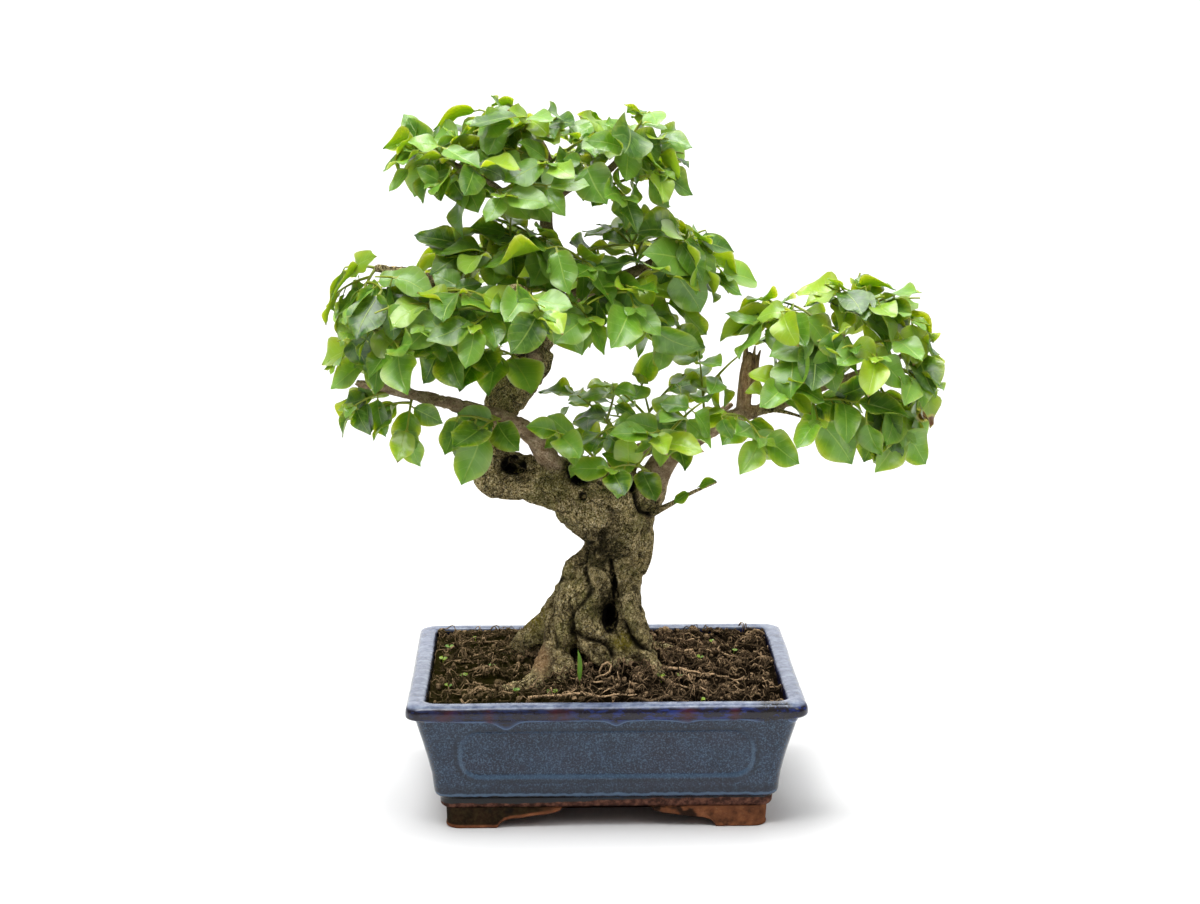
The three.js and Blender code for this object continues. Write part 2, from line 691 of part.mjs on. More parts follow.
function twigGeometry(curve, grow) {
  const steps = 3;
  const sides = 3;
  const rings = [];
  let across = new THREE.Vector3(0.3, 0.2, 1);
  for (let step = 0; step <= steps; step += 1) {
    const t = step / steps;
    const along = curve.getTangent(t);
    across = across.clone().addScaledVector(along, -across.dot(along)).normalize();
    const over = along.clone().cross(across);
    const radius = THREE.MathUtils.lerp(TWIG_RADIUS, TWIG_TIP_RADIUS, t) + grow;
    const ring = Array.from({ length: sides }, (unused, side) => {
      const angle = side / sides * Math.PI * 2;
      return curve.getPoint(t)
        .addScaledVector(across, radius * Math.cos(angle))
        .addScaledVector(over, radius * Math.sin(angle));
    });
    rings.push(ring);
  }
  return new LoftGeometry(rings, { capStart: true, capEnd: true });
}

// Ways to try a leaf: turned sideways, dipped, rolled round its twig, and its share of full length.
const LEAF_TRIES = [
  [0, 0, 0, 1], [22, 0.3, 10, 1], [-20, -0.2, -15, 0.95], [40, 0.5, 30, 0.9], [-38, 0.3, -35, 0.9],
  [10, 0.9, 50, 0.85], [-10, -0.6, -55, 0.85], [60, 0.2, 80, 0.8], [0, 1.3, 0, 0.8], [30, -0.8, 110, 0.7],
];

function leafPlan(row, slot, attempt, curve, pairs, pad) {
  const pair = Math.floor(slot / 2);
  const side = slot % 2 === 0 ? 1 : -1;
  const [turn, dip, roll, share] = LEAF_TRIES[attempt];
  const { degToRad, lerp } = THREE.MathUtils;
  const step = pairs > 1 ? pair / (pairs - 1) : 1;
  const chance = (use) => draw(row, slot, use) - 0.5;
  const within = ([least, most], use) => lerp(least, most, draw(row, slot, use));
  const place = Math.min(LAST_PLACE, lerp(FIRST_PAIR, LAST_PAIR, step) + PLACE_CHANCE * chance(1));
  const base = curve.getPoint(place);
  const along = curve.getTangent(place);
  const outward = base.clone().sub(new THREE.Vector3(...pad.heart)).normalize();
  const face = UP.clone().multiplyScalar(FACE_UP)
    .addScaledVector(outward, FACE_OUTWARD)
    .addScaledVector(along, FACE_ALONG);
  face.x += FACE_CHANCE * chance(2);
  face.y += FACE_CHANCE * chance(3) - FACE_FORWARD;
  face.normalize();
  const beside = along.clone().cross(face).normalize();
  const above = beside.clone().cross(along);
  const pairChance = draw(row, slot - slot % 2, 9) - 0.5;
  const twist = degToRad((pair % 2) * PAIR_TURN + TWIST_CHANCE * pairChance + roll);
  const widest = pair === pairs - 1 ? LAST_SPREAD : SPREAD;
  const spread = degToRad(widest + SPREAD_CHANCE * chance(4) + turn);
  const direction = along.clone().multiplyScalar(Math.cos(spread))
    .addScaledVector(beside, side * Math.sin(spread) * Math.cos(twist))
    .addScaledVector(above, side * Math.sin(spread) * Math.sin(twist))
    .addScaledVector(UP, -pad.hang - dip - DROOP_CHANCE * draw(row, slot, 5))
    .normalize();
  direction.setZ(Math.min(direction.z, MOST_RISE)).normalize();
  face.addScaledVector(direction, -face.dot(direction)).normalize();
  const length = LEAF_LENGTH * pad.size * share * within(LENGTH_RANGE, 6);
  return {
    base: base.clone().addScaledVector(direction, STALK_START),
    along: direction,
    across: direction.clone().cross(face),
    face,
    length,
    halfWidth: length * LEAF_HALF_WIDTH * within(WIDTH_RANGE, 7),
    wave: within(WAVE_RANGE, 8),
    thickness: LEAF_THICKNESS,
  };
}

// What is already in place, so that a new leaf or twig is only put where nothing else is.
const placed = [];

function place(solid, owner) {
  placed.push({ solid, owner, box: boxOf(solid) });
}

// True where the solid misses everything in place, apart from what belongs to the owners left out.
function isClear(solid, leftOut) {
  const box = boxOf(solid);
  return placed.every((other) => {
    if (leftOut.includes(other.owner) || !other.box.intersectsBox(box)) return true;
    const overlap = other.solid.intersect(solid);
    const empty = overlap.isEmpty();
    overlap.delete();
    return empty;
  });
}

function cutFree(piece, limbs) {
  const box = boxOf(piece);
  const near = limbs.filter((limb) => limb.box.intersectsBox(box));
  return near.reduce((rest, limb) => rest.subtract(limb.solid), piece);
}

// A twig is bent until it leaves the wood in one piece and crosses no other twig.
function growTwig(row, limbs) {
  const [, start, end] = SPRAYS[row];
  for (const bends of TWIG_BENDS) {
    const curve = twigCurve(new THREE.Vector3(...start), new THREE.Vector3(...end), bends);
    const pieces = cutFree(solidOf(twigGeometry(curve, LEAF_CLEARANCE)), limbs).decompose();
    if (pieces.length === 1 && isClear(pieces[0], [])) {
      place(pieces[0], `twig_${row}`);
      return { curve, solid: solidOf(twigGeometry(curve, 0)) };
    }
  }
  throw new Error(`no clear route for twig ${row}`);
}

// Each leaf is turned until it is clear; the two of a pair may only meet at their stalks.
function growLeaves(row, curve) {
  const [padName, , , pairs] = SPRAYS[row];
  const leaves = [];
  for (let slot = 0; slot < pairs * 2; slot += 1) {
    const twig = `twig_${row}`;
    const pair = `pair_${row}_${Math.floor(slot / 2)}`;
    for (let attempt = 0; attempt < LEAF_TRIES.length; attempt += 1) {
      const plan = leafPlan(row, slot, attempt, curve, pairs, PADS[padName]);
      const padded = { ...plan, thickness: LEAF_THICKNESS + LEAF_CLEARANCE };
      const guard = solidOf(leafGeometry(padded));
      const blade = solidOf(leafGeometry({ ...padded, from: STALK_SHARE }));
      if (isClear(guard, [twig, pair, `${pair}_whole`]) && isClear(blade, [twig, `${pair}_whole`])) {
        place(blade, pair);
        place(guard, `${pair}_whole`);
        leaves.push(solidOf(leafGeometry(plan)));
        break;
      }
      guard.delete();
      blade.delete();
    }
  }
  return leaves;
}

// Materials

function material(color, roughness) {
  return new THREE.MeshStandardMaterial({ color, roughness, metalness: 0, side: THREE.DoubleSide });
}

const glazedClay = material(0x3d5872, 0.25);
const soilBrown = material(0x3b2c1f, 0.95);
const barkBrown = material(0x6b6144, 0.85);
const meshBlack = material(0x1c1d1c, 0.6);
const leafGreen = material(0x4f8a3c, 0.45);

const group = new THREE.Group();

function addPiece(name, solid, finish, mergeStep = MERGE_STEP) {
  const mesh = new THREE.Mesh(geometryOf(solid.asOriginal().simplify(mergeStep)), finish);
  mesh.name = name;
  group.add(mesh);
  return mesh;
}

const grownLimbs = limbSolids(SEAT_GAP).map((solid) => ({ solid, box: boxOf(solid) }));
grownLimbs.forEach(({ solid }, index) => place(solid, `limb_${index}`));

addPiece('pot', makePot(), glazedClay);
addPiece('drain_mesh_left', makeDrainMesh(-1), meshBlack);
addPiece('drain_mesh_right', makeDrainMesh(1), meshBlack);
addPiece('soil', makeSoil(joined(grownLimbs.map(({ solid }) => solid))), soilBrown, ROUGH_MERGE_STEP);
addPiece('trunk', makeTrunk(), barkBrown, ROUGH_MERGE_STEP);

const limbGuards = placed.splice(0);
const twigs = SPRAYS.map((unused, row) => growTwig(row, grownLimbs));
placed.push(...limbGuards);
const counts = {};
twigs.forEach(({ curve, solid }, row) => {
  const padName = SPRAYS[row][0];
  counts[padName] = (counts[padName] ?? 0) + 1;
  const spray = joined([solid, ...growLeaves(row, curve)]);
  addPiece(`${padName}_spray_${counts[padName]}`, largestPiece(cutFree(spray, grownLimbs)), leafGreen);
});

const outline = new THREE.Box3().setFromObject(group, true);
const middle = outline.getCenter(new THREE.Vector3());
group.position.set(-middle.x, -middle.y, -outline.min.z);
group.updateMatrixWorld(true);

export default group;
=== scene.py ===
"""A small evergreen tree trained in a glazed rectangular pot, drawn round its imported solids.

Shapes are worked out in millimetres round the middle of the pot on the ground, with +X to the right,
+Y away from the viewer and +Z up. to_frame turns them into the frame's metres.
"""

import itertools

import bpy
import numpy as np
from bpy.props import FloatProperty, FloatVectorProperty, IntProperty, PointerProperty
from mathutils import Matrix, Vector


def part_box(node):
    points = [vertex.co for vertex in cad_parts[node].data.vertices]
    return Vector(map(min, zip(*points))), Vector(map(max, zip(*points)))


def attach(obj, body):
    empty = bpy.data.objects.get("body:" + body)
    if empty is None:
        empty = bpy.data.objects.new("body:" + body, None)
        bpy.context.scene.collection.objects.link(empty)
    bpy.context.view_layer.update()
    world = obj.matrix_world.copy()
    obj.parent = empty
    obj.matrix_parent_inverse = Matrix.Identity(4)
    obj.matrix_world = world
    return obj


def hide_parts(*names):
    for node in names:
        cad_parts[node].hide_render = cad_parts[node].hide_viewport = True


bl_info = {
    "name": "Potted Bonsai Tree",
    "version": (1, 0, 0),
    "blender": (4, 5, 0),
    "location": "3D View > Sidebar > Bonsai",
    "description": "A small broadleaf tree with its surface roots, soil and glazed rectangular pot",
    "category": "Add Mesh",
}

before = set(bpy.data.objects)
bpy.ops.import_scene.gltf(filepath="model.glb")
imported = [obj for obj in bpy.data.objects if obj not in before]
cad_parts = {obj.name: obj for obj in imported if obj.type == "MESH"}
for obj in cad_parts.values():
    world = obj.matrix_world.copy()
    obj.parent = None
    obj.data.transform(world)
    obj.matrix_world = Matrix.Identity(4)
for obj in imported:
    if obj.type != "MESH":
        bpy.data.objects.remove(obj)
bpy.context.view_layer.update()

MM = 1000.0
POT_LOW, POT_HIGH = (np.array(corner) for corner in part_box("pot"))
POT_CENTRE = np.array([(POT_LOW[0] + POT_HIGH[0]) / 2, (POT_LOW[1] + POT_HIGH[1]) / 2, 0.0])


def to_frame(points):
    """Millimetres round the middle of the pot, in the frame's metres."""
    return np.asarray(points, float) / MM + POT_CENTRE


def to_pot(points):
    """The frame's metres, in millimetres round the middle of the pot."""
    return (np.asarray(points, float) - POT_CENTRE) * MM


def paint(red, green, blue):
    """A colour seen on screen, from 0 to 255, as the linear values that a shader takes."""
    seen = np.array([red, green, blue]) / 255
    linear = np.where(seen <= 0.04045, seen / 12.92, ((seen + 0.055) / 1.055) ** 2.4)
    return tuple(float(part) for part in linear)


# Working with whole arrays

# A large sine's broken part gives repeatable chance: the sine's turns for each axis and seed, and its gain
LATTICE_TURNS = (127.1, 311.7, 74.7)
SEED_TURN = 17.3
SINE_GAIN = 43758.5453
FAR_AWAY = 1e9
TINY = 1e-9


def smoothstep(low, high, value):
    """0 below low, 1 above high, and 3t^2 - 2t^3 between them."""
    share = np.clip((value - low) / (high - low), 0, 1)
    return share * share * (3 - 2 * share)


def bell(distance, width):
    """1 at no distance, falling to nothing beyond the width: e^-(d/w)^2."""
    return np.exp(-((distance / width) ** 2))


def unit(vectors):
    """Vectors divided by their lengths."""
    return vectors / np.maximum(np.linalg.norm(vectors, axis=-1, keepdims=True), TINY)


def chance(shape, seed):
    """Repeatable numbers from 0 to 1."""
    return np.random.default_rng(seed).random(shape)


def broken_part(wave):
    """What is left of each number above the whole number below it."""
    return wave - np.floor(wave)


def lattice(cells, seed):
    """A repeatable number from -1 to 1 for each cell, the broken part of a large sine of its place."""
    return 2 * broken_part(np.sin(cells @ np.array(LATTICE_TURNS) + seed * SEED_TURN) * SINE_GAIN) - 1


def noise(points, size, seed=0):
    """Smooth chance from -1 to 1: the lattice numbers at a cell's eight corners, blended by smoothstep."""
    place = np.asarray(points, float) / size
    cell = np.floor(place)
    blend = smoothstep(0, 1, place - cell)
    total = 0
    for corner in itertools.product((0, 1), repeat=3):
        weight = np.prod(np.where(np.array(corner) == 1, blend, 1 - blend), axis=-1)
        total = total + weight * lattice(cell + np.array(corner), seed)
    return total


def rough_noise(points, size, octaves, seed=0):
    """Noise added to itself at half the size and half the strength, again and again."""
    return sum(noise(points, size / 2**step, seed + step) / 2**step for step in range(octaves))


def catmull_rom(points, count):
    """A smooth line through points of any dimension; beyond its ends it goes on as far as their neighbours.

    Between two points it is the cubic that has half the step from the point before to the point after as
    its slope at each end.
    """
    points = np.asarray(points, float)
    drawn = np.vstack([2 * points[0] - points[1], points, 2 * points[-1] - points[-2]])
    place = np.linspace(0, len(points) - 1, count)
    start = np.minimum(place.astype(int), len(points) - 2)
    t = (place - start)[:, None]
    before, first, second, after = (drawn[start + step] for step in range(4))
    leave = (second - before) / 2
    arrive = (after - first) / 2
    square = -3 * first + 3 * second - 2 * leave - arrive
    cube = 2 * first - 2 * second + leave + arrive
    return first + leave * t + square * t**2 + cube * t**3


def walk_evenly(line, count):
    """The same line with its points at equal distances."""
    steps = np.linalg.norm(np.diff(line[:, :3], axis=0), axis=1)
    travelled = np.concatenate([[0], np.cumsum(steps)])
    wanted = np.linspace(0, travelled[-1], count)
    return np.stack([np.interp(wanted, travelled, column) for column in line.T], axis=1)


def grid_faces(rows, columns, wrap=True):
    """Four-cornered faces of a grid of points, outward where columns run anticlockwise up the rows."""
    used = columns if wrap else columns - 1
    row, column = np.meshgrid(np.arange(rows - 1), np.arange(used), indexing="ij")
    following = (column + 1) % columns
    corners = [row * columns + column, row * columns + following]
    corners += [(row + 1) * columns + following, (row + 1) * columns + column]
    return np.stack([corner.ravel() for corner in corners], axis=1)


def end_caps(rows, columns):
    """The faces that close the first and the last ring of a grid of rings."""
    column = np.arange(columns)
    return np.stack([column[::-1], column + (rows - 1) * columns])


def repeated(faces, points_each, times):
    """The faces of one shape, repeated for copies that follow each other in the list of points."""
    shift = np.arange(times)[:, None, None] * points_each
    return (faces[None] + shift).reshape(-1, faces.shape[1])


def round_a_circle(count):
    """Angles at even steps round a circle."""
    return np.arange(count) / count * 2 * np.pi


def rings_round(along, reference, sides):
    """Unit rings square to a line's directions: cos a * across + sin a * over.

    across is the reference direction made square to the line, and over is square to both.
    """
    reference = np.broadcast_to(np.asarray(reference, float), along.shape)
    across = unit(reference - (reference * along).sum(-1, keepdims=True) * along)
    over = np.cross(along, across)
    angle = round_a_circle(sides)[:, None]
    return np.cos(angle) * across[..., None, :] + np.sin(angle) * over[..., None, :]


def tubes(centres, radii, sides, reference):
    """Closed tubes round lines of points: each ring is the station's centre + its radius * a unit ring.

    centres is (tubes, stations, 3) and radii (tubes, stations).
    """
    count, stations = radii.shape
    ring = rings_round(unit(np.gradient(centres, axis=1)), reference, sides)
    points = centres[:, :, None] + radii[:, :, None, None] * ring
    walls = repeated(grid_faces(stations, sides), stations * sides, count)
    return points.reshape(-1, 3), [walls, repeated(end_caps(stations, sides), stations * sides, count)]


def gather(shapes):
    """Several (points, face lists) as one, with one list of faces for each number of corners."""
    points = np.concatenate([shape[0] for shape in shapes])
    by_size = {}
    start = 0
    for places, groups in shapes:
        for faces in groups:
            by_size.setdefault(faces.shape[1], []).append(faces + start)
        start += len(places)
    return points, [np.concatenate(faces) for faces in by_size.values()]


def set_values(mesh, values):
    """A named number for each point of a mesh, which its finish can read."""
    for label, numbers in values.items():
        attribute = mesh.attributes.new(label, "FLOAT", "POINT")
        attribute.data.foreach_set("value", np.asarray(numbers, np.float32).ravel())


def set_places(mesh, points):
    """The mesh's points, from millimetres round the pot."""
    mesh.vertices.foreach_set("co", to_frame(points).astype(np.float32).ravel())


def make_piece(name, shape, finish, nodes, values=None, uv=None, sharp=None):
    """A smooth-shaded mesh piece that rides on the frame's only body and stands for the CAD nodes named."""
    points, groups = shape
    mesh = bpy.data.meshes.new(name)
    sizes = np.concatenate([np.full(len(faces), faces.shape[1]) for faces in groups])
    corners = np.concatenate([faces.ravel() for faces in groups]).astype(np.int32)
    starts = np.concatenate([[0], np.cumsum(sizes)[:-1]]).astype(np.int32)
    mesh.vertices.add(len(points))
    set_places(mesh, points)
    mesh.loops.add(len(corners))
    mesh.loops.foreach_set("vertex_index", corners)
    mesh.polygons.add(len(sizes))
    mesh.polygons.foreach_set("loop_start", starts)
    mesh.update(calc_edges=True)
    mesh.shade_smooth()
    if sharp is not None:
        mesh.set_sharp_from_angle(angle=np.radians(sharp))
    set_values(mesh, values or {})
    if uv is not None:
        layer = mesh.uv_layers.new(name="surface")
        layer.data.foreach_set("uv", uv[corners].astype(np.float32).ravel())
    piece = bpy.data.objects.new(name, mesh)
    bpy.context.scene.collection.objects.link(piece)
    piece.data.materials.append(finish)
    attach(piece, "root")
    if nodes:
        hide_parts(*nodes)
    return piece


def apply_modifier(piece, kind, **settings):
    """One modifier, applied to the piece's mesh."""
    modifier = piece.modifiers.new(kind.lower(), kind)
    for label, value in settings.items():
        setattr(modifier, label, value)
    evaluated = piece.evaluated_get(bpy.context.evaluated_depsgraph_get())
    old = piece.data
    piece.data = bpy.data.meshes.new_from_object(evaluated)
    piece.modifiers.clear()
    bpy.data.meshes.remove(old)


def cut_away(piece, shape):
    """The piece with a closed shape taken out of it."""
    cutter = make_piece("cutter", shape, piece.data.materials[0], [])
    apply_modifier(piece, "BOOLEAN", operation="DIFFERENCE", object=cutter, solver="MANIFOLD")
    bpy.data.objects.remove(cutter)


# Settings that a user can change


def length_setting(name, description, default):
    return FloatProperty(name=name, description=description, default=default, unit="LENGTH")


def colour_setting(name, description, *seen):
    """A colour whose default is given as it is seen on screen."""
    default = paint(*seen)
    return FloatVectorProperty(name=name, description=description, default=default, size=3, subtype="COLOR")


# Finishes


class Finish:
    """A procedural finish. Its patterns are sized in millimetres and lie on Object coordinates."""

    def __init__(self, name):
        self.material = bpy.data.materials.new(name)
        self.material.use_nodes = True
        self.tree = self.material.node_tree
        self.shader = self.tree.nodes["Principled BSDF"]
        metres = self.add("TexCoord", "Object")
        self.place = self.add("VectorMath", 0, {"Vector": metres, "Scale": MM}, operation="SCALE")
        self.height = self.axis("Z")

    def add(self, kind, output, inputs=None, **settings):
        node = self.tree.nodes.new("ShaderNode" + kind)
        for label, value in settings.items():
            setattr(node, label, value)
        for label, value in (inputs or {}).items():
            self.join(node.inputs[label], value)
        return node.outputs[output]

    def join(self, socket, value):
        if isinstance(value, bpy.types.NodeSocket):
            self.tree.links.new(value, socket)
        elif socket.type == "RGBA":
            socket.default_value = (*value[:3], 1.0)
        else:
            socket.default_value = value

    def moved(self, stretch, offset=(0, 0, 0)):
        inputs = {0: self.place, 1: stretch, 2: offset}
        return self.add("VectorMath", 0, inputs, operation="MULTIPLY_ADD")

    def noise(self, size, detail=3, rough=0.55, where=None, swirl=0.0):
        inputs = {"Vector": where or self.place, "Scale": 1 / size, "Detail": detail}
        inputs.update({"Roughness": rough, "Distortion": swirl})
        return self.add("TexNoise", 0, inputs)

    def value(self, label):
        return self.add("Attribute", "Fac", attribute_name=label)

    def maths(self, operation, first, second=0.0, third=0.0):
        return self.add("Math", 0, {0: first, 1: second, 2: third}, operation=operation)

    def times(self, *factors):
        product = factors[0]
        for factor in factors[1:]:
            product = self.maths("MULTIPLY", product, factor)
        return product

    def axis(self, name):
        return self.add("SeparateXYZ", name, {"Vector": self.place})

    def band(self, value, low, high, start=0.0, end=1.0):
        inputs = {"Value": value, "From Min": low, "From Max": high, "To Min": start, "To Max": end}
        return self.add("MapRange", "Result", inputs, interpolation_type="SMOOTHSTEP")

    def around(self, value, middle, wide, narrow, end=1.0):
        """end within narrow of a middle value and nothing beyond wide of it."""
        away = self.maths("ABSOLUTE", self.maths("SUBTRACT", value, middle))
        return self.band(away, wide, narrow, 0.0, end)

    def ramp(self, value, *stops):
        node = self.tree.nodes.new("ShaderNodeValToRGB")
        elements = node.color_ramp.elements
        elements[0].position, elements[0].color = stops[0][0], (*stops[0][1], 1)
        elements[1].position, elements[1].color = stops[-1][0], (*stops[-1][1], 1)
        for position, colour in stops[1:-1]:
            elements.new(position).color = (*colour, 1)
        self.join(node.inputs["Fac"], value)
        return node.outputs["Color"]

    def mix(self, factor, first, second):
        node = self.tree.nodes.new("ShaderNodeMix")
        node.data_type = "RGBA"
        self.join(node.inputs[0], factor)
        self.join(node.inputs[6], first)
        self.join(node.inputs[7], second)
        return node.outputs[2]

    def cover(self, under, over, *masks):
        """One colour laid over another, as strongly as the product of the masks."""
        return self.mix(self.times(*masks), under, over)

    def bump(self, height, depth, strength=1.0, below=None):
        """A relief of that depth in millimetres, on top of another where one is given."""
        inputs = {"Height": height, "Distance": depth / MM, "Strength": strength}
        if below is not None:
            inputs["Normal"] = below
        return self.add("Bump", 0, inputs)

    def done(self, **sockets):
        """Each named socket of the shader takes its value, such as base_color for Base Color."""
        for label, value in sockets.items():
            socket = next(s for s in self.shader.inputs if s.name.lower().replace(" ", "_") == label)
            self.join(socket, value)
        return self.material


# The pot

POT_CORNERS = ((1, 1), (-1, 1), (-1, -1), (1, -1))
CORNER_RADIUS = 9
INNER_CORNER_RADIUS = 6
BASE_HALF_WIDTH = 103
BASE_HALF_DEPTH = 83
BAND_BOTTOM = 12
BAND_TOP = 20
FLOOR_TOP = 24
FOOT_HALF_WIDTH = 97
FOOT_HALF_DEPTH = 81.3
FOOT_THICKNESS = 14
FOOT_SCALE = 20
ARCH_TOP = 12.8
DRAIN_RADIUS = 8
DRAIN_OFFSET = 48
DRAIN_SPAN = (8.0, 30.0)
DRAIN_SIDES = 48

# Steps of a ring along the front, along a side and round a corner
WALL_STEPS = (140, 110, 9)
FOOT_STEPS = (300, 240, 12)
PROFILE_STEP = 0.75
PROFILE_SOFTENING = 2
# How straight a wall's direction is where it counts as flat
FLAT = 0.98

# The profile in short runs of (taken off the outer line, height above the named level)
UNDERSIDE = ((90, 0), (30, 0))
LOWER_EDGE = ((4, 0), (2.5, 1.5))
RIM_UNDER = ((1.4, 0.6), (0.2, 1.8), (0, 3.4))
RIM_OVER = ((0.2, -3.2), (1.4, -1.1), (4, -0.1), (8, 0))
POT_INSIDE = ((10, 14), (15.5, 3), (19, 0), (70, 0))
# Of the walls: height above the band and how far they swell
WALL_SWELL = ((0, 0), (2, 0.6), (14, -0.6), (28, -0.6))
# Levels of the profile that lie inside the pot
INNER_LEVELS = 14

# The sunk panel of each face: its bottom and top, the distance of its ends from the corners, its edges
PANEL_BOTTOM = 32
PANEL_TOP = 64.5
PANEL_MARGIN = 31
PANEL_RADIUS = 13
PANEL_EDGE = 3
FAR_FROM_PANEL = 20.0

# Where the rim's glaze ran down over the body: places across the front, how far down and how wide
DRIP_EDGE = 70.4
DRIPS = ((-118, 4.5, 5), (-60, 5, 6), (5.5, 3, 4.5), (48, 1.2, 6), (92, 1.6, 8))
DRIP_THICKNESS = 0.55
SIDE_DRIP = 2.5
FAR_ABOVE_DRIPS = -40
# Brown-red patches on the front of the rim and black stains at its right: places, strength and widths
RUST_PATCHES = ((-96, 1, 7), (-28, 1, 6), (48, 1, 5), (-70, 1, 2.5), (76, 1, 3))
STAINS = ((95, 1, 5), (101, 1, 3), (107, 1, 2.5))

# Half the length of an arch at the ground and where its top begins, and its rise over shares of its slope
FRONT_ARCH = (66, 27)
SIDE_ARCH = (46, 15)
ARCH_SHARES = (0, 0.02, 0.1, 0.2, 0.36, 0.8, 0.9, 0.97, 1)
ARCH_RISES = (0, 2, 4.6, 5.8, 6.2, 8.8, 9.6, 10.8, ARCH_TOP)
# The foot ring's section: how far in from its face and how far above its lower edge
FOOT_INNER = ((0, 20), (0, 3), (-0.4, 0.9), (-1.4, 0.15))
FOOT_OUTER = ((1.4, 0), (0.5, 0.12), (-0.1, 0.6), (-0.25, 1.3), (0.3, 2.1), (0.2, 3.2), (0, 6), (-0.4, 20))

# Unevenness of hand and kiln: how strong, how large and which chance
RUN_CHANCE = (1.3, 14, 3)
BROAD_CHANCE = (0.28, 38, 5)
FINE_CHANCE = (0.07, 7, 6)
RIM_CHANCE = (0.22, 30, 8)
FOOT_EDGE_CHANCE = (0.25, 9, 11)
FOOT_CHANCE = (0.2, 12, 12)


class PotSettings(bpy.types.PropertyGroup):
    width: length_setting("Width", "Across the rim, left to right", 0.24)
    depth: length_setting("Depth", "Across the rim, front to back", 0.198)
    height: length_setting("Height", "From the ground to the rim", 0.081)
    rim_height: length_setting("Rim height", "Of its rolled edge", 0.0095)
    rim_overhang: length_setting("Rim overhang", "How far the rim stands out", 0.0054)
    rim_top: length_setting("Rim top", "Width of its flat top", 0.012)
    panel_depth: length_setting("Panel depth", "How deep the panels are sunk", 0.0018)
    glaze: colour_setting("Glaze", "Blue-grey of the walls", 40, 54, 74)
    glaze_light: colour_setting("Light glaze", "Where it ran thick", 66, 92, 122)
    rim_glaze: colour_setting("Rim glaze", "Plum of the rim's edge", 22, 18, 30)
    clay: colour_setting("Clay", "Bare stoneware", 122, 76, 50)


def uneven(points, strength, size, seed):
    """Noise of a strength, a size and a seed."""
    return strength * noise(points, size, seed)


def rounded_weights(steps_x, steps_y, corner_steps):
    """The ring of a rounded rectangle, counter-clockwise from above, as weights a, b, c, s.

    A point of a level lies at x = (half width - radius) * a + radius * c, and y likewise with b and s.
    """
    rows = []
    for index, corner in enumerate(POT_CORNERS):
        turn = np.linspace(index, index + 1, corner_steps + 1) * np.pi / 2
        fixed = np.tile(corner, (corner_steps + 1, 1))
        rows.append(np.column_stack([fixed, np.cos(turn), np.sin(turn)]))
        steps = steps_x if index % 2 == 0 else steps_y
        share = (np.arange(1, steps) / steps)[:, None]
        following = np.array(POT_CORNERS[(index + 1) % 4])
        line = np.array(corner) * (1 - share) + following * share
        facing = np.tile([np.cos(turn[-1]), np.sin(turn[-1])], (steps - 1, 1))
        rows.append(np.hstack([line, facing]))
    return np.concatenate(rows)


def level_facing(weights):
    """The level direction in which each point of a ring faces."""
    return np.append(weights[:, 2:], np.zeros((len(weights), 1)), 1)


def rounded_levels(weights, levels):
    """Points of rounded rectangles, one for each level (half width, half depth, radius, height)."""
    half_width, half_depth, radius, height = (levels[:, [column]] for column in range(4))
    a, b, c, s = weights.T
    x = (half_width - radius) * a + radius * c
    y = (half_depth - radius) * b + radius * s
    return np.stack([x, y, np.broadcast_to(height, x.shape)], axis=-1)


def softened(levels, step, rounds):
    """A profile walked in even steps, each point then drawn halfway to the middle of its neighbours."""
    levels = np.asarray(levels, float)
    steps = np.linalg.norm(np.diff(levels[:, [0, 3]], axis=0), axis=1)
    travelled = np.concatenate([[0], np.cumsum(steps)])
    wanted = np.linspace(0, steps.sum(), int(steps.sum() / step) + 1)
    line = np.stack([np.interp(wanted, travelled, column) for column in levels.T], axis=1)
    for _ in range(rounds):
        line[1:-1] = line[1:-1] / 2 + (line[:-2] + line[2:]) / 4
    return line


def pot_profile(pot):
    """The pot's levels from its underside, up its walls and over its rim, down to its floor."""
    rim_x = pot.width * MM / 2
    rim_y = pot.depth * MM / 2
    top = pot.height * MM
    rim_bottom = top - pot.rim_height * MM
    overhang = pot.rim_overhang * MM
    inset = pot.rim_top * MM

    def wall(height, swell):
        share = (height - BAND_TOP) / (rim_bottom - BAND_TOP)
        wide = BASE_HALF_WIDTH + (rim_x - overhang - BASE_HALF_WIDTH) * share + swell
        deep = BASE_HALF_DEPTH + (rim_y - overhang - BASE_HALF_DEPTH) * share + swell
        return wide, deep, CORNER_RADIUS, height

    def base(taken, height):
        return BASE_HALF_WIDTH - taken, BASE_HALF_DEPTH - taken, CORNER_RADIUS, height

    def rim(taken, height):
        return rim_x - taken, rim_y - taken, CORNER_RADIUS, height

    def inside(taken, height):
        return rim_x - taken, rim_y - taken, INNER_CORNER_RADIUS, height

    visible = [base(taken, BAND_BOTTOM + rise) for taken, rise in LOWER_EDGE]
    visible += [base(2, BAND_TOP - 1)]
    visible += [wall(BAND_TOP + rise, swell) for rise, swell in WALL_SWELL]
    visible += [wall(rim_bottom - 8, 0), wall(rim_bottom, 0.2)]
    visible += [rim(taken, rim_bottom + rise) for taken, rise in RIM_UNDER]
    visible += [rim(taken, top + rise) for taken, rise in RIM_OVER]
    visible += [rim(inset - 1.2, top - 0.4), inside(inset, top - 2), inside(inset + 1, rim_bottom)]
    below = [base(taken, BAND_BOTTOM + rise) for taken, rise in UNDERSIDE]
    within = [inside(inset + taken, FLOOR_TOP + rise) for taken, rise in POT_INSIDE]
    return np.vstack([below, softened(visible, PROFILE_STEP, PROFILE_SOFTENING), within])


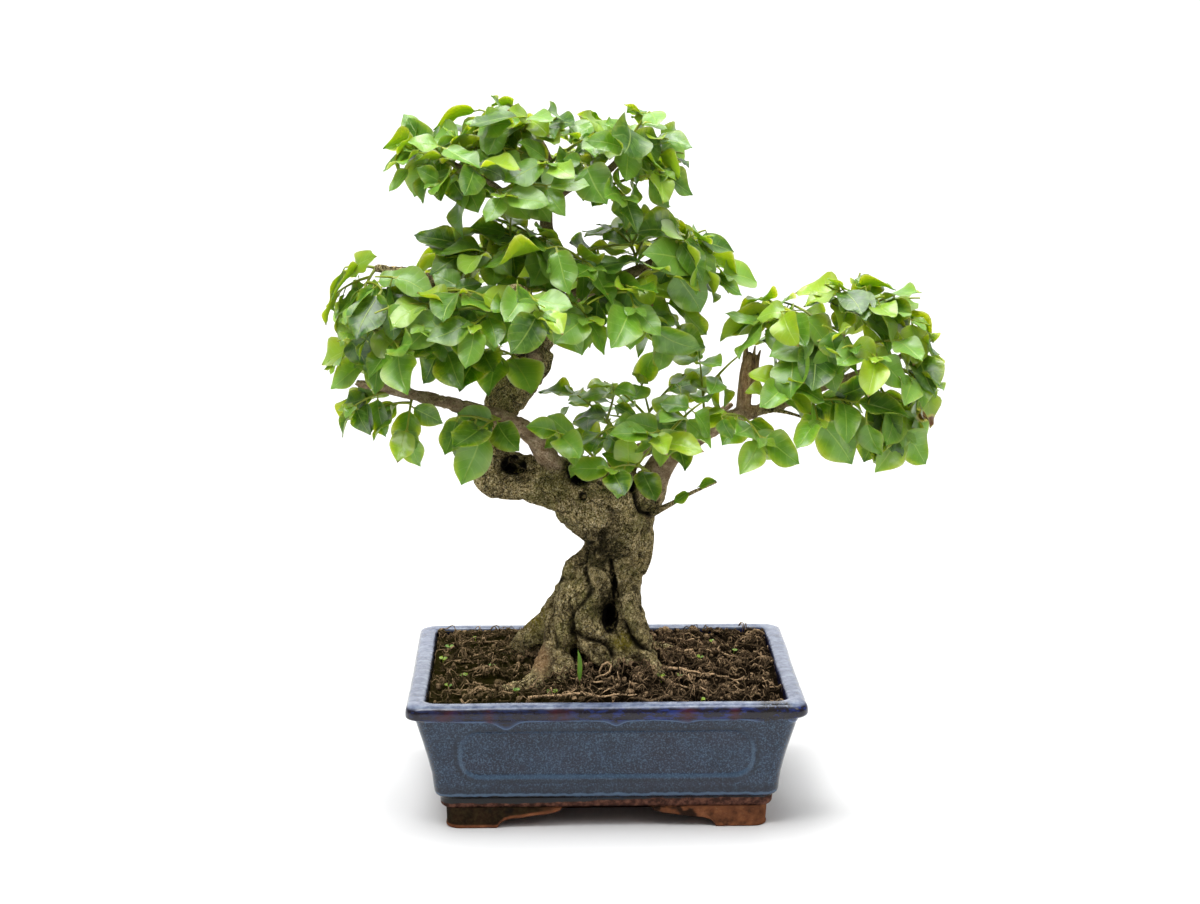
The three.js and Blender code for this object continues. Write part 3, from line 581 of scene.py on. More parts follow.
def panel_distance(across, height, half_length):
    """Distance from the edge of a rounded rectangle in its own plane, negative inside it."""
    beyond_x = np.abs(across) - (half_length - PANEL_RADIUS)
    middle = (PANEL_TOP + PANEL_BOTTOM) / 2
    beyond_z = np.abs(height - middle) - ((PANEL_TOP - PANEL_BOTTOM) / 2 - PANEL_RADIUS)
    outside = np.hypot(np.maximum(beyond_x, 0), np.maximum(beyond_z, 0))
    return outside + np.minimum(np.maximum(beyond_x, beyond_z), 0) - PANEL_RADIUS


def bells(place, bumps):
    """The sum of a bell curve for each (middle, height, width)."""
    return sum(tall * bell(place - middle, wide) for middle, tall, wide in bumps)


def pot_wall(pot):
    """The pot's walls, rim and floor: rounded rectangles up the profile.

    Each point is then moved the way its wall faces: in by the sunk panels, out by thick glaze, and both
    ways by noise.
    """
    weights = rounded_weights(*WALL_STEPS)
    points = rounded_levels(weights, pot_profile(pot))
    x, y, z = np.moveaxis(points, -1, 0)
    on_front = np.abs(weights[:, 3]) > FLAT
    across = np.where(on_front, x, y)
    half = np.where(on_front, pot.width, pot.depth) * MM / 2 - PANEL_MARGIN
    flat = np.maximum(np.abs(weights[:, 2]), np.abs(weights[:, 3])) > FLAT
    panel = np.where(flat, panel_distance(across, z, half), FAR_FROM_PANEL)
    is_front = weights[:, 3] < -FLAT
    run = np.where(is_front, x, 300 + x + y)
    runs = uneven(np.stack([run, 0 * run, 0 * run], -1), *RUN_CHANCE)
    edge = DRIP_EDGE - np.where(is_front, bells(x, DRIPS), SIDE_DRIP * np.maximum(runs, 0)) - 0.35 * runs
    drip = z - edge
    outward = np.arange(len(points)) < len(points) - INNER_LEVELS
    wall = outward[:, None] & (z < pot.height * MM - 1.5)
    sunk = pot.panel_depth * MM * smoothstep(0, PANEL_EDGE, -panel)
    thick = DRIP_THICKNESS * smoothstep(-0.9, 0.6, drip) * (1 - smoothstep(1.5, 4, drip))
    rough = uneven(points, *BROAD_CHANCE) + uneven(points, *FINE_CHANCE)
    shift = np.where(wall, thick - sunk, 0) + np.where(z > BAND_TOP, rough, 0.5 * rough)
    points = points + np.broadcast_to(level_facing(weights), points.shape) * shift[..., None]
    points[..., 2] += np.where(z > pot.height * MM - 4, uneven(points, *RIM_CHANCE), 0)
    rows, columns = points.shape[:2]
    values = {"panel": panel, "drip": drip}
    values["rust"] = np.where(is_front, bells(x, RUST_PATCHES), 0)
    values["stain"] = np.where(is_front, bells(x, STAINS), 0)
    values["foot"] = np.zeros_like(x)
    shape = points.reshape(-1, 3), [grid_faces(rows, columns), end_caps(rows, columns)]
    return shape, {label: numbers.ravel() for label, numbers in values.items()}


def arch_height(across, arch):
    """Height of the opening between two feet: nothing at the feet, rising steeply, then in a long slope."""
    ground, open_half = arch
    return np.interp((ground - np.abs(across)) / (ground - open_half), ARCH_SHARES, ARCH_RISES)


def foot_ring():
    """The clay ring under the pot, with its lower edge lifted by the arches.

    Its section, a way in from its face and a rise above the lower edge, is carried round the rounded
    rectangle.
    """
    section = [(FOOT_THICKNESS + extra, rise) for extra, rise in FOOT_INNER] + list(FOOT_OUTER)
    insets, rises = np.array(section).T
    weights = rounded_weights(*FOOT_STEPS)
    outline = np.array([[FOOT_HALF_WIDTH, FOOT_HALF_DEPTH, CORNER_RADIUS, 0.0]])
    around = rounded_levels(weights, outline)[0]
    on_front = np.abs(weights[:, 3]) > 0.9
    lower = np.where(on_front, arch_height(around[:, 0], FRONT_ARCH), arch_height(around[:, 1], SIDE_ARCH))
    lower = lower + uneven(around, *FOOT_EDGE_CHANCE) * (lower < ARCH_TOP - 0.5) * (lower > 0.5)
    facing = level_facing(weights)
    points = around[None] - facing[None] * insets[:, None, None]
    points[..., 2] = np.minimum(lower + rises[:, None], ARCH_TOP)
    points += facing[None] * uneven(points, *FOOT_CHANCE)[..., None]
    rows, columns = points.shape[:2]
    column = np.arange(columns)
    following = (column + 1) % columns
    last = (rows - 1) * columns
    seam = np.stack([last + column, last + following, following, column], axis=1)
    rise = points[..., 2] - lower
    none = np.zeros(rise.shape)
    values = {"panel": none + FAR_FROM_PANEL, "drip": none + FAR_ABOVE_DRIPS, "rust": none, "stain": none}
    values["foot"] = 1 + rise / FOOT_SCALE
    shape = points.reshape(-1, 3), [grid_faces(rows, columns), seam]
    return shape, {label: numbers.ravel() for label, numbers in values.items()}


def wall_glaze(finish, pot, level, leftward, lower_edge, clouds):
    """Blue-grey glaze, paler streaks, crystals, dark pools, painted highlight and shade round the panel."""
    streaks = finish.noise(3.2, 4, 0.6, where=finish.moved((1, 1, 0.22)))
    wall = finish.mix(finish.band(clouds, 0.35, 0.7), paint(26, 36, 54), tuple(pot.glaze))
    wall = finish.mix(finish.band(streaks, 0.5, 0.8, 0, 0.35), wall, tuple(pot.glaze_light))
    pools = finish.band(finish.noise(34, 3, 0.6, where=finish.moved((0.6, 1, 1))), 0.46, 0.64)
    wall = finish.cover(wall, paint(36, 34, 50), pools, 0.5)
    crystals = finish.noise(1.0, 2, 0.6)
    wall = finish.mix(finish.band(crystals, 0.5, 0.64, 0, 0.3), wall, paint(92, 126, 152))
    wall = finish.mix(finish.band(crystals, 0.46, 0.36, 0, 0.7), wall, paint(16, 22, 34))
    panel = finish.value("panel")
    # Painted highlight inside the panel's lower and side edges, and painted shade just outside them
    low_part = finish.band(finish.height, PANEL_TOP - 4, PANEL_TOP - 14, 0.25, 1.0)
    wall = finish.cover(wall, paint(98, 128, 156), finish.around(panel, -1.2, 1.8, 0.4), low_part, 0.26)
    wall = finish.cover(wall, paint(18, 24, 34), finish.around(panel, 1.8, 2.0, 0.4), low_part, 0.55)
    # Painted shade along the panel's top edge, which faces down
    high_part = finish.band(finish.height, PANEL_TOP - 4, PANEL_TOP - 1)
    wall = finish.cover(wall, paint(14, 18, 28), finish.around(panel, 0, 1.8, 0.4), high_part, 0.6)
    wall = finish.cover(wall, paint(20, 26, 38), finish.band(level, 30, 25), 0.6)
    wall = finish.mix(finish.around(level, 21.6, 1.5, 0.3, 0.5), wall, paint(92, 120, 150))
    wall = finish.cover(wall, paint(11, 11, 14), finish.band(level, 21.0, 20.2), leftward)
    return finish.mix(finish.band(lower_edge, 19.6, 18.8), wall, paint(10, 9, 12))


def bare_clay(finish, pot, across, grain):
    """Brown stoneware with pale grains and dark stains, browner high on the ring, mossy at the left."""
    earth = finish.ramp(finish.noise(11, 5, 0.65), (0.3, paint(64, 40, 28)), (0.55, tuple(pot.clay)),
                        (0.8, paint(160, 110, 78)))
    earth = finish.mix(finish.band(grain, 0.6, 0.75, 0, 0.5), earth, paint(150, 118, 92))
    patches = finish.band(finish.noise(5, 4, 0.7), 0.4, 0.65)
    shaded_band = finish.mix(patches, paint(60, 40, 34), paint(118, 80, 66))
    foot = finish.value("foot")
    on_foot = finish.band(foot, 0.5, 0.9)
    clay = finish.mix(on_foot, shaded_band, earth)
    growth = finish.band(finish.noise(2.5, 4, 0.7), 0.35, 0.7)
    moss = finish.mix(growth, paint(12, 11, 7), paint(40, 37, 22))
    above_lip = finish.maths("SUBTRACT", 1.0, finish.band(foot, 1.13, 1.07))
    clay = finish.cover(clay, moss, above_lip, finish.band(across, -45, -60), on_foot, 0.92)
    stained = finish.band(finish.noise(15, 3, 0.6), 0.56, 0.66, 0, 0.9)
    return finish.cover(clay, paint(24, 19, 16), stained, on_foot)


def rim_glaze(finish, pot, drip, leftward, clouds, specks):
    """Plum and cobalt glaze with red-brown patches, light blue along its lower edge, lavender on top."""
    cobalt = finish.mix(leftward, paint(30, 42, 96), paint(24, 32, 62))
    flecks = finish.noise(2.2, 4, 0.65, where=finish.moved((0.35, 1, 1)))
    rim = finish.mix(finish.band(flecks, 0.46, 0.6), tuple(pot.rim_glaze), cobalt)
    rim = finish.mix(finish.band(specks, 0.6, 0.74, 0, 0.4), rim, paint(66, 72, 104))
    rim = finish.cover(rim, paint(62, 84, 118), finish.band(drip, 3.0, 0.6), 0.6)
    rim = finish.cover(rim, paint(98, 124, 160), finish.around(drip, 0, 0.9, 0.1), 0.6)
    rim = finish.cover(rim, paint(60, 16, 20), finish.value("rust"), finish.band(clouds, 0.3, 0.55), 0.75)
    top = finish.band(finish.maths("ADD", finish.height, finish.times(clouds, 2.0)), 79.6, 81.6)
    lavender = finish.ramp(finish.noise(6, 5, 0.65), (0.3, paint(62, 72, 98)), (0.5, paint(104, 114, 138)),
                           (0.7, paint(136, 146, 164)))
    rim = finish.mix(top, rim, lavender)
    stain = finish.times(finish.value("stain"), finish.band(specks, 0.35, 0.5))
    return finish.mix(finish.maths("MINIMUM", stain, 0.95), rim, paint(26, 22, 22))


def glazed_clay(pot):
    """Blue-grey glaze on the walls, a plum rim over a light blue edge, and bare clay below."""
    finish = Finish("glazed_clay")
    clouds = finish.noise(16, 4, 0.6)
    specks = finish.noise(1.3, 3, 0.7)
    grain = finish.noise(0.9, 3, 0.7)
    across = finish.axis("X")
    leftward = finish.band(across, 20, -70)
    ripple = finish.maths("MULTIPLY_ADD", finish.noise(7, 2), 3.0, -1.5)
    level = finish.maths("ADD", finish.height, ripple)
    lower_edge = finish.maths("MULTIPLY_ADD", leftward, 2.6, level)
    bare = finish.band(lower_edge, 18.4, 17.6)
    drip = finish.value("drip")
    on_rim = finish.band(drip, -0.5, 0.4)
    wall = wall_glaze(finish, pot, level, leftward, lower_edge, clouds)
    wall = finish.mix(bare, wall, bare_clay(finish, pot, across, grain))
    colour = finish.mix(on_rim, wall, rim_glaze(finish, pot, drip, leftward, clouds, specks))

    matt = finish.times(bare, finish.maths("SUBTRACT", 1.0, on_rim))
    gloss = finish.ramp(clouds, (0.3, (0.08,) * 3), (0.7, (0.22,) * 3))
    roughness = finish.mix(matt, gloss, (0.85,) * 3)
    pits = finish.maths("ADD", finish.times(grain, 0.6), finish.times(specks, 0.4))
    relief = finish.bump(finish.times(pits, finish.maths("MULTIPLY_ADD", matt, 0.7, 0.3)), 0.35, 0.8)
    relief = finish.bump(finish.noise(5, 2), 0.35, 0.5, below=relief)
    shine = finish.band(matt, 0, 1, 0.4, 0.05)
    return finish.done(base_color=colour, roughness=roughness, normal=relief, specular_ior_level=shine)


class BONSAI_OT_pot(bpy.types.Operator):
    """Add the glazed pot with its sunk panels, rolled rim, drain holes and clay feet"""

    bl_idname = "bonsai.pot"
    bl_label = "Add Pot"

    def execute(self, context):
        pot = context.scene.bonsai_pot
        wall, wall_values = pot_wall(pot)
        ring, ring_values = foot_ring()
        clay = glazed_clay(pot)
        walls = make_piece("glazed_pot", wall, clay, ["pot"], wall_values, sharp=60)
        turn = np.linspace(0, 2 * np.pi, DRAIN_SIDES, endpoint=False)
        for side in (-1, 1):
            x = side * DRAIN_OFFSET + DRAIN_RADIUS * np.cos(turn)
            y = DRAIN_RADIUS * np.sin(turn)
            rings = np.stack([np.column_stack([x, y, 0 * x + height]) for height in DRAIN_SPAN])
            faces = [grid_faces(2, DRAIN_SIDES), end_caps(2, DRAIN_SIDES)]
            cut_away(walls, (rings.reshape(-1, 3), faces))
        make_piece("clay_feet", ring, clay, ["pot"], ring_values, sharp=50)
        return {"FINISHED"}


# The drain meshes keep their solids and get their plastic


def black_plastic():
    """Dull black plastic with a fine grain."""
    finish = Finish("black_plastic")
    grain = finish.noise(0.6, 2)
    colour = finish.ramp(grain, (0.3, paint(22, 23, 22)), (0.7, paint(40, 41, 40)))
    return finish.done(base_color=colour, roughness=0.55, normal=finish.bump(grain, 0.05))


class BONSAI_OT_drain_meshes(bpy.types.Operator):
    """Finish the two squares of plastic mesh over the drain holes"""

    bl_idname = "bonsai.drain_meshes"
    bl_label = "Finish Drain Meshes"

    def execute(self, context):
        plastic = black_plastic()
        for node in ("drain_mesh_left", "drain_mesh_right"):
            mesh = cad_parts[node].data
            mesh.materials.clear()
            mesh.materials.append(plastic)
        return {"FINISHED"}


# The soil

SOIL_HALF_WIDTH = 107.4
SOIL_HALF_DEPTH = 86.4
SOIL_GRID = (190, 154)
BODY_BELOW_FIBRES = 2.0
# The walls of soil inside the pot: how far in from the top's edge and at what height
SOIL_WALLS = ((1.2, 70.5), (10.2, 38), (15.8, 28), (19.4, 26))
MOUND_MIDDLE = (-6, 14)
MOUND_REACH = (62, 48)
LUMP_SIZE = 0.8
COARSE_GRAINS = (0.9, 6, 21)
FINE_GRAINS = (0.5, 2.6, 22)

# Fibres: which chance, lengths, radii and how high they arch
FINE_FIBRES = (31, (5, 24), (0.26, 0.75), 5.0)
STOUT_FIBRES = (32, (20, 55), (0.4, 1.1), 4.5)
FIBRE_STATIONS = 11
FIBRE_SIDES = 3
FIBRE_GAIN = 1.12
FIBRE_CONTRAST = 1.2
UPWARDS = (0.01, 0.02, 1)
# Long roots on the soil as seen from above: x and y of both ends, their bow and radius
SURFACE_ROOTS = (
    (-46, -70, 28, -72, 0.04, 1.1), (-44, -34, -88, -58, 0.1, 1.3), (-40, -40, -62, -74, -0.15, 1.0),
    (38, -14, 82, -44, 0.12, 1.1), (30, -20, 60, -64, -0.1, 0.9), (48, 30, 96, 8, 0.1, 1.1),
    (-62, 30, -100, 4, -0.12, 1.0), (6, -34, -6, -66, 0.2, 0.8), (70, -60, 100, -30, 0.15, 0.9),
)
ROOT_STATIONS = 24
ROOT_SIDES = 6
ROOT_TONE = 0.8
CRUMB_CHANCE = 41
CRUMB_SHARE_AT_RIM = 0.35
# How dark the body of soil is between its fibres: its damp colour, darkened further as painted shade
BODY_TONE = 0.06


class SoilSettings(bpy.types.PropertyGroup):
    level: length_setting("Level", "Of the soil at the rim", 0.078)
    mound: length_setting("Mound", "Height round the roots", 0.005)
    fibres: IntProperty(name="Fibres", description="Fine root fibres", default=2100, min=0, max=3200)
    stout: IntProperty(name="Stout fibres", description="Longer ones", default=160, min=0, max=400)
    crumbs: IntProperty(name="Crumbs", description="Loose crumbs of soil", default=700, min=0, max=2000)
    dark: colour_setting("Damp soil", "Between the fibres", 9, 6, 3)
    tan: colour_setting("Fibre", "Dry root fibre", 226, 190, 148)


def soil_height(x, y, soil):
    """Level plus a bell-shaped mound round the trunk, crossed waves of sine and finer lumps."""
    away_x = ((x - MOUND_MIDDLE[0]) / MOUND_REACH[0]) ** 2
    away_y = ((y - MOUND_MIDDLE[1]) / MOUND_REACH[1]) ** 2
    mound = soil.mound * MM * np.exp(-away_x - away_y)
    lumps = np.sin(x / 7.3 + 1) * np.cos(y / 8.1) + 0.6 * np.sin(x / 3.9 + y / 5.3)
    places = np.stack([x, y, np.zeros_like(x)], axis=-1)
    fine = uneven(places, *COARSE_GRAINS) + uneven(places, *FINE_GRAINS)
    return soil.level * MM + mound + LUMP_SIZE * lumps + fine


def soil_body(soil):
    """The soil: a grid of heights whose corners are drawn round, and walls that follow the pot down.

    A point (u, v) of the square is pressed towards the circle only in its four corners.
    """
    u, v = np.meshgrid(*(np.linspace(-1, 1, count) for count in SOIL_GRID), indexing="ij")
    corner = CORNER_RADIUS
    x, y = u * SOIL_HALF_WIDTH, v * SOIL_HALF_DEPTH
    over_x = np.maximum(np.abs(x) - SOIL_HALF_WIDTH + corner, 0) / corner
    over_y = np.maximum(np.abs(y) - SOIL_HALF_DEPTH + corner, 0) / corner
    reach = np.hypot(over_x, over_y)
    press = np.where(reach > 0, np.maximum(over_x, over_y) / np.maximum(reach, TINY), 1)
    x = np.sign(x) * (np.minimum(np.abs(x), SOIL_HALF_WIDTH - corner) + over_x * press * corner)
    y = np.sign(y) * (np.minimum(np.abs(y), SOIL_HALF_DEPTH - corner) + over_y * press * corner)
    top = np.stack([x, y, soil_height(x, y, soil) - BODY_BELOW_FIBRES], axis=-1)
    rows, columns = SOIL_GRID
    faces = grid_faces(rows, columns, wrap=False)
    index = np.arange(rows * columns).reshape(rows, columns)
    edge = np.concatenate([index[:-1, 0], index[-1, :-1], index[:0:-1, -1], index[0, :0:-1]])
    ring = top.reshape(-1, 3)[edge]
    walls = []
    for taken, height in SOIL_WALLS:
        level = ring.copy()
        level[:, 0] *= (SOIL_HALF_WIDTH - taken) / SOIL_HALF_WIDTH
        level[:, 1] *= (SOIL_HALF_DEPTH - taken) / SOIL_HALF_DEPTH
        level[:, 2] = height
        walls.append(level)
    lower = np.concatenate(walls)
    count = len(edge)
    start = rows * columns
    chain = np.concatenate([edge, start + np.arange(len(lower))])
    wall_faces = chain[grid_faces(len(walls) + 1, count)][:, ::-1]
    floor = (start + len(lower) - count + np.arange(count))[None, ::-1]
    return np.concatenate([top.reshape(-1, 3), lower]), [faces, wall_faces, floor]


def strands(soil, count, seed, lengths, radii, highest):
    """Curly strands over the soil: level lines whose heading drifts, in shallow arcs that rise and fall.

    Each is a tube whose heading is a start angle plus a steady turn plus a slow sine, summed step by step.
    Few are dry and pale, most are damp and dark; those that arch higher are painted paler as lit, and
    the ends of all, low by the soil, are painted darker as shade.
    """
    draw = chance((10, count), seed)
    share = np.linspace(0, 1, FIBRE_STATIONS)
    middle = np.sin(np.pi * share)
    length = lengths[0] + (lengths[1] - lengths[0]) * draw[0] ** 1.6
    step = (length / (FIBRE_STATIONS - 1))[:, None]
    curl = draw[3][:, None]
    bend = (draw[1] * 2 * np.pi)[:, None] + ((draw[2] - 0.5) * 7)[:, None] * share
    bend = bend + 1.2 * np.sin(share * (3 + 5 * curl) + draw[4][:, None] * 6)
    x = (draw[5] * 2 - 1)[:, None] * (SOIL_HALF_WIDTH - 3) + np.cumsum(np.cos(bend) * step, axis=1)
    y = (draw[6] * 2 - 1)[:, None] * (SOIL_HALF_DEPTH - 3) + np.cumsum(np.sin(bend) * step, axis=1)
    x = np.clip(x, -SOIL_HALF_WIDTH + 0.8, SOIL_HALF_WIDTH - 0.8)
    y = np.clip(y, -SOIL_HALF_DEPTH + 0.8, SOIL_HALF_DEPTH - 0.8)
    stoutness = radii[0] + (radii[1] - radii[0]) * draw[7] ** 3
    radius = stoutness[:, None] * (1 - 0.55 * np.abs(share * 2 - 1) ** 2)
    arch = (0.3 + highest * draw[8] ** 2)[:, None] * middle**0.8
    arch = arch * (1 + 0.45 * np.sin(share * (6 + 12 * curl) + draw[1][:, None] * 9))
    z = soil_height(x, y, soil) + arch + 0.5 * radius
    shape = tubes(np.stack([x, y, z], axis=-1), radius, FIBRE_SIDES, UPWARDS)
    # Paler where a fibre arches higher, as painted light, and darker towards its ends, as painted shade
    dry = 0.76 * draw[9] ** 3.4 + 0.24 * draw[8] ** 2.6
    tone = (0.008 + 0.99 * dry)[:, None] * (0.2 + 0.8 * middle)
    return shape, np.repeat(FIBRE_GAIN * tone**FIBRE_CONTRAST, FIBRE_SIDES)


def surface_roots(soil):
    """The longer roots that lie on the soil: a straight run bowed by a sine, with a quicker sine on top."""
    lines, radii = [], []
    share = np.linspace(0, 1, ROOT_STATIONS)
    for x0, y0, x1, y1, bow, radius in SURFACE_ROOTS:
        across, back = x1 - x0, y1 - y0
        x = x0 + across * share - bow * back * np.sin(np.pi * share) + 1.2 * np.sin(9 * share + x0)
        y = y0 + back * share + bow * across * np.sin(np.pi * share) + 0.9 * np.sin(11 * share + y0)
        lines.append(np.stack([x, y, soil_height(x, y, soil) + 0.9 * radius], axis=-1))
        radii.append(radius * (1 - 0.6 * share))
    shape = tubes(np.stack(lines), np.stack(radii), ROOT_SIDES, UPWARDS)
    return shape, np.full(len(shape[0]), ROOT_TONE)


def soil_fibres(soil):
    """Fine fibres, some stouter and longer ones, and the long roots."""
    fine, fine_tone = strands(soil, soil.fibres, *FINE_FIBRES)
    stout, stout_tone = strands(soil, soil.stout, *STOUT_FIBRES)
    roots, roots_tone = surface_roots(soil)
    return gather([fine, stout, roots]), {"tone": np.concatenate([fine_tone, stout_tone, roots_tone])}


def ball(rings, around):
    """Points and faces of a ball of radius 1, from pole to pole."""
    tilt = np.linspace(0, np.pi, rings + 2)[1:-1]
    turn = round_a_circle(around)
    height = np.repeat(-np.cos(tilt), around)
    width = np.repeat(np.sin(tilt), around)
    circle = np.tile(np.column_stack([np.cos(turn), np.sin(turn)]), (rings, 1))
    points = np.column_stack([circle * width[:, None], height])
    return points, [grid_faces(rings, around), end_caps(rings, around)]


def soil_crumbs(soil):
    """Small balls drawn out of round by chance, half sunk in the soil, more of them at the back rim."""
    points, groups = ball(4, 6)
    count = soil.crumbs
    draw = chance((8, count), CRUMB_CHANCE)
    x = (draw[0] * 2 - 1) * (SOIL_HALF_WIDTH - 2)
    y = (draw[1] * 2 - 1) * (SOIL_HALF_DEPTH - 2)
    at_rim = draw[2] < CRUMB_SHARE_AT_RIM
    y = np.where(at_rim, SOIL_HALF_DEPTH - 1 - 5 * draw[1] ** 2, y)
    size = 0.6 + 2.0 * draw[3] ** 2.5
    centre = np.stack([x, y, soil_height(x, y, soil) + 0.3 * size], axis=-1)
    stretch = 0.7 + 0.6 * np.stack([draw[4], draw[5], draw[6]], axis=-1)
    lumps = points[None] * (1 + 0.3 * noise(points[None] + centre[:, None], 0.9, 42))[..., None]
    places = centre[:, None] + lumps * (size[:, None] * stretch)[:, None]
    faces = [repeated(faces, len(points), count) for faces in groups]
    return (places.reshape(-1, 3), faces), {"tone": np.repeat(0.5 * draw[7], len(points))}


def damp_soil(soil):
    """Dark damp soil between tan fibres, with painted shade in grainy spots and a mossy tint at the left."""
    finish = Finish("damp_soil")
    tone = finish.value("tone")
    grain = finish.noise(1.1, 4, 0.7)
    patches = finish.noise(22, 3, 0.6)
    colour = finish.mix(tone, tuple(soil.dark), tuple(soil.tan))
    colour = finish.cover(colour, paint(206, 176, 142), tone, finish.band(grain, 0.5, 0.75, 0, 0.5))
    # Dark grainy spots over soil and fibres: partly grain, partly painted shade among the fibres
    colour = finish.mix(finish.band(grain, 0.54, 0.38, 0, 0.85), colour, paint(8, 5, 2))
    left = finish.band(finish.maths("MULTIPLY_ADD", patches, 90, finish.axis("X")), 40, -40)
    colour = finish.cover(colour, paint(74, 72, 22), left, 0.16)
    relief = finish.bump(grain, 0.5, 0.7)
    return finish.done(base_color=colour, roughness=0.95, normal=relief, specular_ior_level=0.0)


class BONSAI_OT_soil(bpy.types.Operator):
    """Add the soil with its root fibres and crumbs"""

    bl_idname = "bonsai.soil"
    bl_label = "Add Soil"

    def execute(self, context):
        soil = context.scene.bonsai_soil
        earth = damp_soil(soil)
        body = soil_body(soil)
        tone = BODY_TONE * (0.12 + 0.25 * smoothstep(-0.2, 0.8, noise(body[0], 4, 24)))
        make_piece("soil_body", body, earth, ["soil"], {"tone": tone})
        fibres, fibre_values = soil_fibres(soil)
        make_piece("root_fibres", fibres, earth, ["soil"], fibre_values)
        crumbs, crumb_values = soil_crumbs(soil)
        make_piece("soil_crumbs", crumbs, earth, ["soil"], crumb_values)
        return {"FINISHED"}


# The wood

